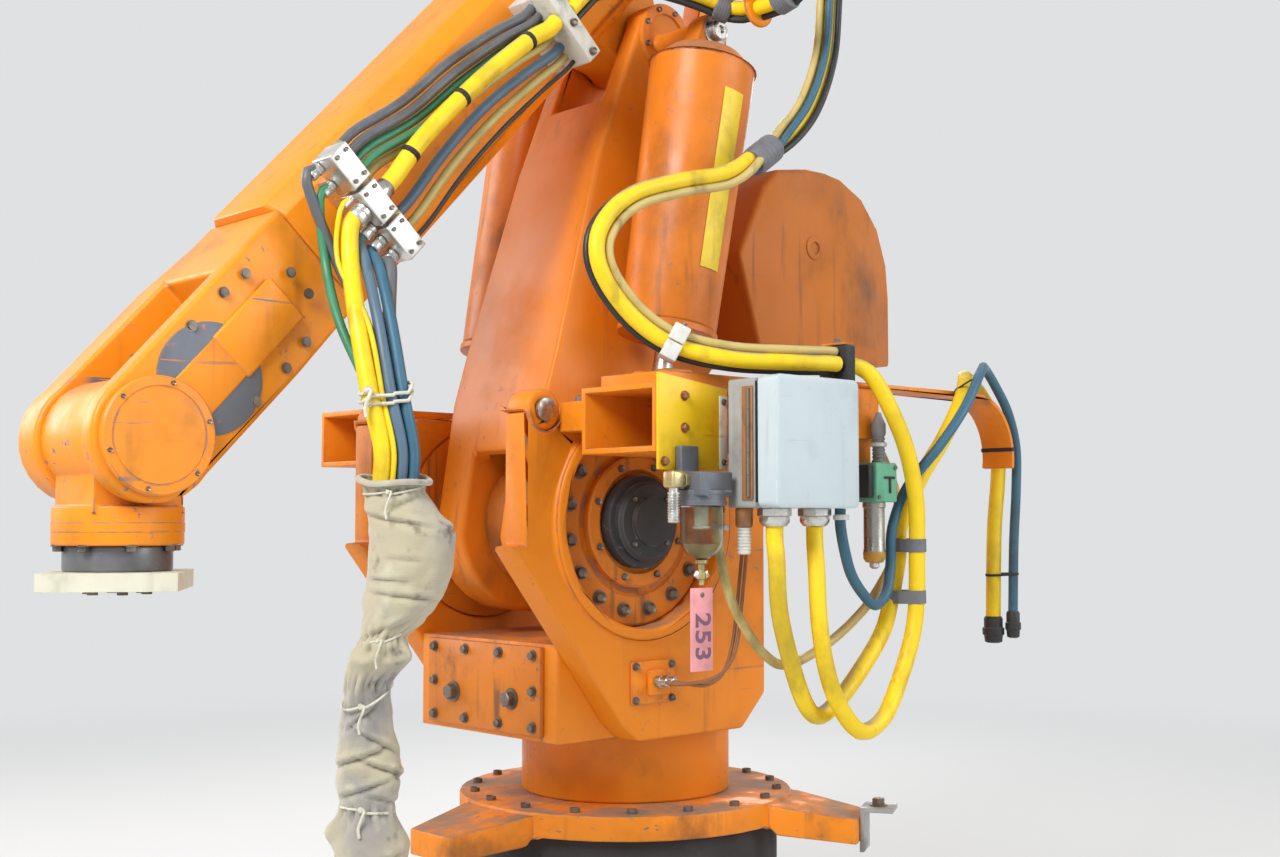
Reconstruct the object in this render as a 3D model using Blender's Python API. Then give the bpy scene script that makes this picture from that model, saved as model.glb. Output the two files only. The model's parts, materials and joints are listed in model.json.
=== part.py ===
"""Floor-standing industrial robot arm with a parallelogram drive, a counterweight and balancing cylinders.

Metres, +Z up. The origin is where the vertical turning axis meets the floor. +X is straight ahead of the
arm, +Y its left side, which carries the service equipment. The arm stands in a working pose: lower arm
leaning back, upper arm pointing down, tool flange facing the floor.
"""

import math

import bmesh
import bpy
from mathutils import Matrix, Vector

# Clearances
SEAT_GAP = 0.0003
RUNNING_GAP = 0.0005
SIDE_CLEARANCE = 0.005
OVERRUN = 0.02
PIN_BORE_CLEARANCE = 0.0007

# Pose of the arm
LOWER_ARM_LEAN = math.radians(11.0)
UPPER_ARM_PITCH = math.radians(47.0)
FLANGE_PITCH = math.radians(90.0)

# Axes
SHOULDER_X = 0.188
SHOULDER_Z = 0.900
LOWER_ARM_LENGTH = 0.950
UPPER_ARM_OFFSET = 0.200
UPPER_ARM_REACH = 1.290
PARALLEL_CRANK = 0.350

# Fixed base
FOOT_RADIUS = 0.400
FOOT_THICKNESS = 0.030
PEDESTAL_RADIUS = 0.292
RING_RADIUS = 0.319
RING_THICKNESS = 0.045
RING_TOP = 0.390
RING_ARM_TIP_RADIUS = 0.460
RING_ARM_WIDTH = 0.190
RING_ARM_TIP_WIDTH = 0.120
RING_ARM_DROP = 0.030
BASE_SIDES = 48
RING_ARM_ANGLES = (0.0, 120.0, 240.0)
TIE_DOWN_WIDTH = 0.070
TIE_DOWN_HEIGHT = 0.080
TIE_DOWN_LENGTH = 0.060
TIE_DOWN_THICKNESS = 0.008

# Turning frame
NECK_RADIUS = 0.200
CHEEK_INNER = 0.200
CHEEK_THICKNESS = 0.058
CHEEK_OUTER = CHEEK_INNER + CHEEK_THICKNESS
CHEEK_REAR = -0.120
CHEEK_BOTTOM = 0.520
CHEEK_LENGTH = 0.600
CHEEK_HEIGHT = 0.600
CHEEK_OUTLINE_SHARES = (
    (0.10, 0.00),
    (0.00, 0.10),
    (0.00, 0.74),
    (0.12, 0.96),
    (0.78, 0.96),
    (0.84, 0.90),
    (0.957, 0.94),
    (0.957, 0.57),
    (1.00, 0.565),
    (0.60, 0.05),
    (0.54, 0.00),
)
EAR_RADIUS = 0.036
EAR_HOLE_RADIUS = 0.015
EAR_X = 0.4175
EAR_Z = 1.086
DRIVE_OPENING_RADIUS = 0.185
OPENING_RIM_WIDTH = 0.022
OPENING_RIM_HEIGHT = 0.010
FRAME_FLOOR_FRONT = 0.338
FRAME_FLOOR_TOP = 0.690
COVER_HALF_WIDTH = 0.165
COVER_THICKNESS = 0.010
COVER_BOTTOM = 0.530
COVER_TOP = 0.684
DRIVE_FLANGE_OUTER = 0.226
DRIVE_BOSS_RADIUS = 0.125
DRIVE_MOTOR_RADIUS = 0.082
DRIVE_MOTOR_LENGTH = 0.030
TURN_MOTOR_RADIUS = 0.055
TURN_MOTOR_HEIGHT = 0.120
TURN_MOTOR_X = -0.050
TURN_MOTOR_Y = 0.130

# Balancing cylinders
CYLINDER_Y = 0.238
CYLINDER_TOP_RADIUS = 0.0985
CYLINDER_TAIL_RADIUS = 0.0880
CYLINDER_BORE_RADIUS = 0.0780
CYLINDER_PIN_ALONG = 0.930
CYLINDER_HEAD = 0.042
CYLINDER_TAIL = 0.575
CYLINDER_CROWN = 0.030
CYLINDER_BORE_DEPTH = 0.430
CYLINDER_EYE_RADIUS = 0.034
CYLINDER_EYE_THICKNESS = 0.040
PIVOT_STUB_RADIUS = 0.020
ANCHOR_BACK = 0.055
ANCHOR_UP = 0.240
ROD_RADIUS = 0.018
ROD_LENGTH = 0.450
ROD_EYE_RADIUS = 0.026
ANCHOR_LUG_WIDTH = 0.070
ANCHOR_LUG_OUTER = 0.290
ANCHOR_SLOT_HALF_WIDTH = 0.022
ANCHOR_SLOT_DEPTH = 0.060

# Lower arm
ARM_HALF_WIDTH_FOOT = 0.140
ARM_HALF_WIDTH_TOP = 0.118
ARM_HUB_RADIUS = 0.170
ARM_HEAD_RADIUS = 0.066
ARM_FRONT_LOW = 0.168
ARM_FRONT_MID = 0.120
ARM_BACK = 0.112
ARM_FOOT_SLOT_HALF_WIDTH = 0.055
ARM_FOOT_SLOT_TOP = 0.390
ARM_FRONT_SLOT_TOP = 0.100
ARM_FRONT_WALL = 0.038
ARM_HEAD_SLOT_HALF_WIDTH = 0.070
ARM_HEAD_SLOT_BOTTOM = 0.800
ELBOW_PIN_RADIUS = 0.050
ELBOW_PIN_HALF_LENGTH = 0.106

# Parallel arm, counterweight and tie rod
CRANK_HALF_WIDTH = 0.050
CRANK_HUB_RADIUS = 0.120
CRANK_PLATE_HALF_DEPTH = 0.070
CRANK_TAIL = 0.820
CRANK_SLOT_HALF_WIDTH = 0.0285
CRANK_SLOT_START = 0.150
CRANK_SLOT_END = 0.620
LINK_PIN_RADIUS = 0.022
TIE_ROD_HALF_WIDTH = 0.026
TIE_ROD_EYE_RADIUS = 0.040
TIE_ROD_RADIUS = 0.024
WEIGHT_OUTER = 0.200
WEIGHT_FRONT = -0.115
WEIGHT_BOTTOM = 1.240
WEIGHT_LENGTH = 0.565
WEIGHT_HEIGHT = 0.375
WEIGHT_REAR_HALF_WIDTH = 0.120
WEIGHT_TAPER_LENGTH = 0.300
WEIGHT_OUTLINE_SHARES = (
    (-0.10, 0.00),
    (0.00, 0.48),
    (-0.13, 0.86),
    (-0.20, 0.96),
    (-0.36, 1.00),
    (-0.58, 1.00),
    (-0.76, 0.94),
    (-0.90, 0.80),
    (-0.98, 0.60),
    (-1.00, 0.40),
    (-1.00, 0.00),
)

# Upper arm
HOUSING_HALF_WIDTH = 0.115
HOUSING_BELOW = 0.115
HOUSING_ABOVE = 0.115
HOUSING_REAR = -0.300
HOUSING_FRONT = 0.890
HOUSING_CHAMFER = 0.028
ELBOW_LUG_HALF_WIDTH = 0.0645
ELBOW_LUG_RADIUS = 0.062
ELBOW_LUG_ROOT = 0.120
REAR_LUG_INNER = 0.0265
REAR_LUG_OUTER = 0.060
REAR_LUG_RADIUS = 0.045
WRIST_MOTOR_LENGTH = 0.190
WRIST_MOTOR_Y = 0.058
WRIST_MOTOR_Z = 0.055
WRIST_MOTOR_RADIUS = 0.045

# Forearm and wrist
FOREARM_NECK_HALF_WIDTH = 0.112
FOREARM_NECK_END = 1.030
FORK_NEAR_INNER = 0.0800
FORK_NEAR_OUTER = 0.1230
FORK_FAR_INNER = 0.0800
FORK_FAR_OUTER = 0.1500
FORK_END_RADIUS = 0.0985
WRIST_CAP_RADIUS = 0.088
WRIST_CAP_THICKNESS = 0.012
WRIST_HUB_RADIUS = 0.090
WRIST_HALF_WIDTH = 0.0795
WRIST_BLOCK_LENGTH = 0.112
WRIST_BLOCK_HALF_WIDTH = 0.070
WRIST_TIER_RADIUS = 0.096
WRIST_TIER_LENGTH = 0.048
TURNING_DISC_RADIUS = 0.080
TURNING_DISC_THICKNESS = 0.038
TOOL_PLATE_SIDE = 0.200
TOOL_PLATE_THICKNESS = 0.028
TOOL_PLATE_TURN = math.radians(33.0)

# Equipment on the frame's left side
POCKET_INNER = 0.315
POCKET_OUTER = 0.494
POCKET_BOTTOM = 1.010
POCKET_TOP = 1.120
POCKET_FRONT = 0.385
POCKET_REAR = -0.060
POCKET_WALL = 0.010
REAR_FOOT_LENGTH = 0.054
FRONT_FOOT_LENGTH = 0.040
FOOT_HEIGHT = 0.050
FRONT_FOOT_DROP = 0.070
FRONT_FOOT_BOTTOM = POCKET_TOP - FRONT_FOOT_DROP
HOOD_HEIGHT = 0.020
HOOD_TOP = POCKET_TOP + HOOD_HEIGHT
HOOD_INNER = 0.335
HOOD_OUTER = 0.488
HOOD_FRONT = 0.360
HOOD_REAR = 0.060
FILTER_PLATE_REAR = 0.231
FILTER_PLATE_BOTTOM = 0.982
FILTER_PLATE_TOP = 1.135
FILTER_PLATE_FALL = 0.019
FILTER_PLATE_THICKNESS = 0.006
BOX_REAR = 0.085
BOX_FRONT = 0.284
BOX_STANDOFF = 0.059
BOX_DEPTH = 0.100
BOX_INNER = POCKET_OUTER + BOX_STANDOFF
BOX_OUTER = BOX_INNER + BOX_DEPTH
BOX_HEIGHT = 0.203
BOX_BOTTOM = 0.922
BOX_TOP = BOX_BOTTOM + BOX_HEIGHT
DOOR_THICKNESS = 0.042
DOOR_MARGIN = 0.004
FILTER_X = 0.331
FILTER_Y = 0.540
FILTER_BLOCK_TOP = 0.978
FILTER_BLOCK_SIDE = 0.070
FILTER_RIM_TOP = 0.950
FILTER_RIM_BOTTOM = 0.925
FILTER_RIM_RADIUS = 0.0385
FILTER_TAB_WIDTH = 0.040
FILTER_TAB_TOP = 1.020
FILTER_PORT_RADIUS = 0.010
FILTER_PORT_REACH = 0.0495
BOWL_RADIUS = 0.0335
BOWL_BOTTOM = 0.842
BOWL_NOSE_BOTTOM = 0.798
BOWL_NOSE_RADIUS = 0.008
TAG_WIDTH = 0.047
TAG_BOTTOM = 0.669
TAG_THICKNESS = 0.003
BEAM_REAR = -0.055
BEAM_FRONT = 0.225
BEAM_RISE = 0.030
BEAM_HEIGHT = 0.050
BEAM_BOTTOM = POCKET_BOTTOM + BEAM_RISE
BEAM_TOP = BEAM_BOTTOM + BEAM_HEIGHT
RISER_FRONT = 0.075
RISER_OUTER = 0.585
RISER_TOP = 1.127
VALVE_X = -0.020
VALVE_Y = 0.600
VALVE_SIDE = 0.056
VALVE_BOTTOM = 0.933
VALVE_TOP = 0.999
VALVE_ARM_INNER = 0.545
VALVE_ARM_BOTTOM = 0.940
LUBRICATOR_RADIUS = 0.019
LUBRICATOR_BOTTOM = 0.820
GLAND_RADIUS = 0.024
GLAND_LENGTH = 0.028
GLAND_ASIDE = 0.047
GLAND_Y = BOX_INNER + GLAND_ASIDE
GLAND_XS = (0.228, 0.132)
SADDLE_X = -0.335
SADDLE_Z = 1.020
SADDLE_RADIUS = 0.115
SADDLE_THICKNESS = 0.008
SADDLE_INNER = 0.525
SADDLE_OUTER = 0.592
CLIP_REAR = 0.052
CLIP_FRONT = 0.072
CLIP_INNER = 0.560
CLIP_OUTER = 0.622
CLIP_TOP = 1.192

# Cables and hoses on the frame's left side
CABLE_RADIUS = 0.0140
BLUE_HOSE_RADIUS = 0.0090
TAN_HOSE_RADIUS = 0.0080
HARNESS_RADIUS = 0.0240
STIFF_STEP = 1.2
THICK_STEP = 1.0
BLUE_STEP = 1.6
TAN_STEP = 1.8
SUPPLY_CABLE_ROUTE = (
    (0.228, 0.600, 0.8933),
    (0.228, 0.600, 0.870),
    (0.229, 0.605, 0.840),
    (0.229, 0.610, 0.763),
    (0.201, 0.606, 0.687),
    (0.161, 0.600, 0.615),
    (0.125, 0.597, 0.588),
    (0.083, 0.597, 0.602),
    (0.021, 0.595, 0.647),
    (-0.045, 0.595, 0.713),
    (-0.078, 0.590, 0.772),
    (-0.098, 0.590, 0.840),
    (-0.104, 0.590, 0.895),
    (-0.150, 0.600, 0.977),
    (-0.200, 0.612, 1.045),
    (-0.242, 0.616, 1.105),
    (-0.285, 0.600, 1.152),
    (-0.340, 0.562, 1.164),
    (-0.400, 0.545, 1.147),
    (-0.442, 0.543, 1.108),
    (-0.468, 0.543, 1.050),
    (-0.466, 0.543, 0.980),
    (-0.452, 0.543, 0.880),
    (-0.445, 0.543, 0.720),
)
LOOP_CABLE_ROUTE = (
    (0.132, 0.600, 0.8933),
    (0.132, 0.600, 0.870),
    (0.145, 0.615, 0.818),
    (0.150, 0.624, 0.742),
    (0.144, 0.634, 0.664),
    (0.115, 0.637, 0.604),
    (0.065, 0.638, 0.562),
    (0.003, 0.635, 0.579),
    (-0.048, 0.632, 0.644),
    (-0.082, 0.631, 0.711),
    (-0.094, 0.631, 0.771),
    (-0.096, 0.631, 0.854),
    (-0.094, 0.632, 0.935),
    (-0.068, 0.634, 1.018),
    (-0.026, 0.634, 1.086),
    (0.006, 0.622, 1.140),
    (0.026, 0.608, 1.158),
    (0.047, 0.602, 1.162),
)
BLUE_HOSE_ROUTE = (
    (0.094, 0.622, 0.9216),
    (0.094, 0.622, 0.895),
    (0.087, 0.624, 0.856),
    (0.068, 0.622, 0.815),
    (0.037, 0.620, 0.783),
    (0.001, 0.618, 0.762),
    (-0.036, 0.612, 0.781),
    (-0.058, 0.604, 0.826),
    (-0.064, 0.604, 0.890),
    (-0.104, 0.606, 0.960),
    (-0.155, 0.636, 1.030),
    (-0.215, 0.648, 1.100),
    (-0.280, 0.637, 1.168),
    (-0.345, 0.600, 1.180),
    (-0.410, 0.579, 1.152),
    (-0.455, 0.575, 1.105),
    (-0.481, 0.574, 1.040),
    (-0.480, 0.574, 0.960),
    (-0.470, 0.574, 0.860),
    (-0.464, 0.574, 0.730),
)
TAN_HOSE_ROUTE = (
    (0.2815, 0.530, 0.9147),
    (0.281, 0.531, 0.858),
    (0.270, 0.538, 0.792),
    (0.247, 0.545, 0.742),
    (0.203, 0.553, 0.689),
    (0.151, 0.557, 0.669),
    (0.053, 0.557, 0.697),
    (-0.041, 0.554, 0.746),
    (-0.096, 0.552, 0.791),
    (-0.140, 0.550, 0.842),
    (-0.156, 0.548, 0.890),
    (-0.158, 0.540, 0.950),
    (-0.135, 0.525, 1.020),
    (-0.100, 0.516, 1.062),
    (-0.0565, 0.515, 1.065),
)
HARNESS_ROUTE = (
    (0.078, 0.596, 1.164),
    (0.100, 0.594, 1.164),
    (0.159, 0.580, 1.162),
    (0.255, 0.530, 1.165),
    (0.331, 0.480, 1.185),
    (0.380, 0.447, 1.222),
    (0.425, 0.430, 1.275),
    (0.445, 0.425, 1.323),
    (0.432, 0.425, 1.370),
    (0.374, 0.425, 1.420),
    (0.273, 0.425, 1.456),
    (0.141, 0.420, 1.494),
    (0.033, 0.416, 1.559),
    (-0.064, 0.413, 1.641),
    (-0.123, 0.410, 1.753),
    (-0.139, 0.410, 1.869),
    (-0.128, 0.425, 1.950),
    (-0.085, 0.462, 2.005),
    (-0.032, 0.503, 1.996),
    (-0.003, 0.515, 1.935),
    (0.005, 0.490, 1.872),
    (0.0067, 0.440, 1.838),
    (0.0067, 0.400, 1.8325),
    (0.0067, 0.3726, 1.8325),
)
ELBOW_CABLE_ROUTE = (
    (0.0067, 0.3594, 1.8325),
    (0.0067, 0.335, 1.8325),
    (0.022, 0.300, 1.842),
    (0.075, 0.276, 1.858),
    (0.150, 0.252, 1.868),
    (0.216, 0.224, 1.868),
    (0.2645, 0.2050, 1.8483),
    (0.2972, 0.201, 1.8163),
    (0.3204, 0.201, 1.7915),
)

# Equipment on the upper arm, along its own axis, across it and above it
MANIFOLD_ALONG = 0.803
MANIFOLD_ROWS = ((0.122, 0.188), (0.194, 0.258), (0.264, 0.330))
MANIFOLD_BLOCK_LENGTH = 0.040
MANIFOLD_INNER = 0.166
MANIFOLD_OUTER = 0.220
BRACKET_THICKNESS = 0.014
REAR_CLAMP_ALONG = 0.262
REAR_CLAMP_LOW = 0.116
REAR_CLAMP_HIGH = 0.262
REAR_CLAMP_LENGTH = 0.034
CABLE_ARM_LOW = 0.100
CABLE_ARM_HIGH = 0.112
CABLE_ARM_HALF_WIDTH = 0.022
CABLE_ARM_RING_INNER = 0.360
CABLE_ARM_RING_OUTER = 0.372
CABLE_ARM_RING_RADIUS = 0.036
PACK_CABLE_ROUTE = (
    (0.2794, 0.2030, 0.2080),
    (0.305, 0.2030, 0.2080),
    (0.360, 0.208, 0.222),
    (0.500, 0.212, 0.238),
    (0.650, 0.206, 0.240),
    (0.740, 0.1985, 0.228),
    (0.7815, 0.1980, 0.227),
)
PACK_CABLE_RADIUS = 0.0150
PACK_HOSES_INNER = 0.150
PACK_HOSES_OUTER = 0.178
PACK_HOSES_OUTLINE = (
    (0.2795, 0.125),
    (0.400, 0.140),
    (0.600, 0.150),
    (0.7825, 0.130),
    (0.7825, 0.318),
    (0.600, 0.318),
    (0.400, 0.290),
    (0.2795, 0.250),
)

# Hoses that hang from the arm's front, and the canvas sleeve round them: places and half-widths
HANGING_TOP_SLOPE = 0.9325
HANGING_HOSES_RINGS = (
    (0.733, 0.195, 1.3841, 0.060, 0.024),
    (0.745, 0.206, 1.300, 0.042, 0.046),
    (0.756, 0.262, 1.200, 0.034, 0.052),
    (0.752, 0.298, 1.085, 0.034, 0.040),
    (0.742, 0.309, 1.010, 0.040, 0.042),
    (0.744, 0.310, 0.964, 0.040, 0.042),
)
SLEEVE_RINGS = (
    (0.744, 0.310, 0.9635, 0.048, 0.050),
    (0.744, 0.310, 0.940, 0.044, 0.046),
    (0.730, 0.311, 0.915, 0.056, 0.060),
    (0.714, 0.312, 0.884, 0.066, 0.070),
    (0.717, 0.309, 0.828, 0.065, 0.069),
    (0.727, 0.303, 0.782, 0.058, 0.062),
    (0.750, 0.294, 0.732, 0.033, 0.036),
    (0.751, 0.282, 0.695, 0.046, 0.050),
    (0.760, 0.265, 0.660, 0.034, 0.037),
    (0.744, 0.239, 0.591, 0.043, 0.046),
    (0.733, 0.229, 0.520, 0.051, 0.054),
    (0.734, 0.226, 0.464, 0.043, 0.046),
    (0.726, 0.225, 0.411, 0.060, 0.063),
    (0.724, 0.223, 0.350, 0.056, 0.059),
    (0.722, 0.222, 0.300, 0.052, 0.055),
)
SLEEVE_SIDES = 24

ROBOT = bpy.data.collections.new("robot_arm")
CUTTERS = bpy.data.collections.new("cutters")


def clear_scene():
    """Removes every object, so that the script gives the same model each time."""
    for obj in list(bpy.data.objects):
        bpy.data.objects.remove(obj, do_unlink=True)
    bpy.context.scene.collection.children.link(ROBOT)
    bpy.context.scene.collection.children.link(CUTTERS)


def material(name, colour, roughness, metallic=0.0, alpha=1.0):
    """A Principled finish with the part's plain colour."""
    finish = bpy.data.materials.new(name)
    finish.use_nodes = True
    shader = finish.node_tree.nodes["Principled BSDF"]
    shader.inputs["Base Color"].default_value = (*colour, 1.0)
    shader.inputs["Roughness"].default_value = roughness
    shader.inputs["Metallic"].default_value = metallic
    shader.inputs["Alpha"].default_value = alpha
    return finish


clear_scene()
ORANGE = material("orange_paint", (0.80, 0.24, 0.03), 0.45)
STEEL = material("machined_steel", (0.45, 0.45, 0.46), 0.35, 1.0)
GREY_PAINT = material("grey_paint", (0.42, 0.45, 0.46), 0.5)
DARK = material("dark_casting", (0.06, 0.055, 0.05), 0.7)
ALUMINIUM = material("aluminium", (0.70, 0.70, 0.70), 0.4, 1.0)
YELLOW_PAINT = material("yellow_paint", (0.85, 0.55, 0.03), 0.5)
YELLOW_CABLE = material("yellow_jacket", (0.85, 0.60, 0.04), 0.5)
BLUE_HOSE = material("blue_jacket", (0.05, 0.20, 0.33), 0.45)
TAN_HOSE = material("tan_jacket", (0.55, 0.48, 0.25), 0.5)
BLACK = material("black_rubber", (0.03, 0.03, 0.03), 0.6)
CANVAS = material("canvas_sleeve", (0.36, 0.31, 0.21), 0.95)
CLEAR = material("clear_bowl", (0.75, 0.80, 0.75), 0.1, 0.0, 0.35)
PINK = material("pink_tag", (0.80, 0.42, 0.45), 0.6)
GREEN = material("green_valve", (0.10, 0.42, 0.25), 0.4)
ZINC = material("galvanised", (0.60, 0.61, 0.60), 0.45, 1.0)


def empty(name, place, pitch=0.0, parent=None):
    """An empty on a joint's axis, turned about the cross axis by pitch."""
    pivot = bpy.data.objects.new(name, None)
    ROBOT.objects.link(pivot)
    pivot.location = place
    pivot.rotation_euler = (0.0, pitch, 0.0)
    pivot.parent = parent
    return pivot


def placed(name, mesh, place, pivot, turn=(0.0, 0.0, 0.0)):
    """An object of this mesh in the robot's collection, seated in its pivot's frame."""
    obj = bpy.data.objects.new(name, mesh)
    ROBOT.objects.link(obj)
    obj.location = place
    obj.rotation_euler = turn
    obj.parent = pivot
    return obj


def coloured(obj, finish):
    obj.data.materials.clear()
    obj.data.materials.append(finish)
    return obj


def box(name, low, high, pivot=None):
    """A block between two corners."""
    low, high = Vector(low), Vector(high)
    form = bmesh.new()
    bmesh.ops.create_cube(form, size=1.0, matrix=Matrix.Diagonal((*(high - low), 1.0)))
    mesh = bpy.data.meshes.new(name)
    form.to_mesh(mesh)
    form.free()
    return placed(name, mesh, (low + high) / 2, pivot)


def drum(name, start, end, radius, sides=24, pivot=None, end_radius=None):
    """A round bar or cone from start to end."""
    start, end = Vector(start), Vector(end)
    along = end - start
    form = bmesh.new()
    bmesh.ops.create_cone(
        form,
        cap_ends=True,
        segments=sides,
        radius1=radius,
        radius2=radius if end_radius is None else end_radius,
        depth=along.length,
    )
    mesh = bpy.data.meshes.new(name)
    form.to_mesh(mesh)
    form.free()
    for face in mesh.polygons:
        face.use_smooth = len(face.vertices) == 4
    turn = along.to_track_quat("Z", "Y").to_euler()
    return placed(name, mesh, (start + end) / 2, pivot, turn)


def meshed(curve):
    """The curve object's evaluated shape as a closed mesh object in the same place."""
    bpy.context.view_layer.update()
    graph = bpy.context.evaluated_depsgraph_get()
    mesh = bpy.data.meshes.new_from_object(curve.evaluated_get(graph))
    form = bmesh.new()
    form.from_mesh(mesh)
    bmesh.ops.remove_doubles(form, verts=form.verts, dist=SEAT_GAP / 10)
    form.to_mesh(mesh)
    form.free()
    name, pivot = curve.name, curve.parent
    place, turn = curve.location.copy(), curve.rotation_euler.copy()
    bpy.data.objects.remove(curve, do_unlink=True)
    return placed(name, mesh, place, pivot, turn)


def flat_curve(name, outline, thickness):
    """A filled flat outline of the given thickness, centred on its own plane."""
    data = bpy.data.curves.new(name, "CURVE")
    data.dimensions = "2D"
    data.fill_mode = "BOTH"
    data.extrude = thickness / 2
    spline = data.splines.new("POLY")
    spline.points.add(len(outline) - 1)
    for point, (across, up) in zip(spline.points, outline):
        point.co = (across, up, 0.0, 1.0)
    spline.use_cyclic_u = True
    return data


def side_plate(name, outline, inner, outer, pivot=None):
    """A plate with an (X, Z) outline, from Y inner to Y outer."""
    data = flat_curve(name, outline, abs(outer - inner))
    return meshed(placed(name, data, (0.0, (inner + outer) / 2, 0.0), pivot, (math.pi / 2, 0.0, 0.0)))


def front_plate(name, outline, rear, front, pivot=None):
    """A plate with a (Y, Z) outline, from X rear to X front."""
    data = flat_curve(name, outline, abs(front - rear))
    turn = (math.pi / 2, 0.0, math.pi / 2)
    return meshed(placed(name, data, ((rear + front) / 2, 0.0, 0.0), pivot, turn))


def level_plate(name, outline, bottom, top, pivot=None):
    """A plate with an (X, Y) outline, from Z bottom to Z top."""
    data = flat_curve(name, outline, abs(top - bottom))
    return meshed(placed(name, data, (0.0, 0.0, (bottom + top) / 2), pivot))


def smooth_route(points, spacing):
    """Places along a smooth curve through hand-chosen points, about one spacing apart."""
    points = [Vector(point) for point in points]
    padded = [2 * points[0] - points[1], *points, 2 * points[-1] - points[-2]]
    route = [points[0]]
    for before, start, end, after in zip(padded, padded[1:], padded[2:], padded[3:]):
        steps = max(1, round((end - start).length / spacing))
        for step in range(1, steps + 1):
            share = step / steps
            pull = (end - before) * share + (2 * before - 5 * start + 4 * end - after) * share**2
            route.append(start + (pull + (3 * start - before - 3 * end + after) * share**3) / 2)
    return route


def hose(name, points, radius, finish, spacing_diameters=2.5, pivot=None):
    """A round hose along a smooth curve, with closed ends."""
    data = bpy.data.curves.new(name, "CURVE")
    data.dimensions = "3D"
    data.bevel_depth = radius
    data.bevel_resolution = 2
    data.use_fill_caps = True
    route = smooth_route(points, 2 * radius * spacing_diameters)
    spline = data.splines.new("POLY")
    spline.points.add(len(route) - 1)
    for point, place in zip(spline.points, route):
        point.co = (*place, 1.0)
    return coloured(placed(name, data, (0.0, 0.0, 0.0), pivot), finish)


def as_helper(obj):
    """Takes a shape out of the model and keeps it as a tool for a Boolean."""
    ROBOT.objects.unlink(obj)
    CUTTERS.objects.link(obj)
    obj.hide_render = True
    obj.display_type = "WIRE"


def boolean(obj, tools, operation):
    for tool in tools:
        as_helper(tool)
        step = obj.modifiers.new(tool.name, "BOOLEAN")
        step.operation = operation
        step.solver = "EXACT"
        step.object = tool
    return obj


def cut(obj, *tools):
    return boolean(obj, tools, "DIFFERENCE")


def join(obj, *tools):
    return boolean(obj, tools, "UNION")


def arc(centre, radius, first, last, steps):
    """Points of an arc, from the first angle to the last, in degrees."""
    places = []
    for step in range(steps + 1):
        angle = math.radians(first + (last - first) * step / steps)
        places.append((centre[0] + radius * math.cos(angle), centre[1] + radius * math.sin(angle)))
    return places


def from_shares(shares, start, length, height):
    """An outline whose points are shares of a length and a height, measured from a start corner."""
    return [(start[0] + length * across, start[1] + height * up) for across, up in shares]


# Joint pivots: each moving piece hangs from the empty on its own axis
turn_axis = empty("turn_axis", (0.0, 0.0, 0.0))
shoulder = empty("shoulder_axis", (SHOULDER_X, 0.0, SHOULDER_Z), parent=turn_axis)
lower = empty("lower_arm_axis", (0.0, 0.0, 0.0), -LOWER_ARM_LEAN, parent=shoulder)
crank = empty("crank_axis", (0.0, 0.0, 0.0), UPPER_ARM_PITCH, parent=shoulder)
elbow_x = -LOWER_ARM_LENGTH * math.sin(LOWER_ARM_LEAN)
elbow_z = LOWER_ARM_LENGTH * math.cos(LOWER_ARM_LEAN)
elbow = empty("elbow_axis", (elbow_x, 0.0, elbow_z), UPPER_ARM_PITCH, parent=shoulder)
wrist = empty("wrist_axis", (UPPER_ARM_REACH, 0.0, UPPER_ARM_OFFSET), FLANGE_PITCH - UPPER_ARM_PITCH, elbow)
crank_pin = empty("crank_pin_axis", (-PARALLEL_CRANK, 0.0, 0.0), -UPPER_ARM_PITCH - LOWER_ARM_LEAN, crank)
pin_x = -CYLINDER_PIN_ALONG * math.sin(LOWER_ARM_LEAN)
pin_z = CYLINDER_PIN_ALONG * math.cos(LOWER_ARM_LEAN)
cylinder_lean = math.atan2(-pin_x - ANCHOR_BACK, pin_z - ANCHOR_UP)


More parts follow.
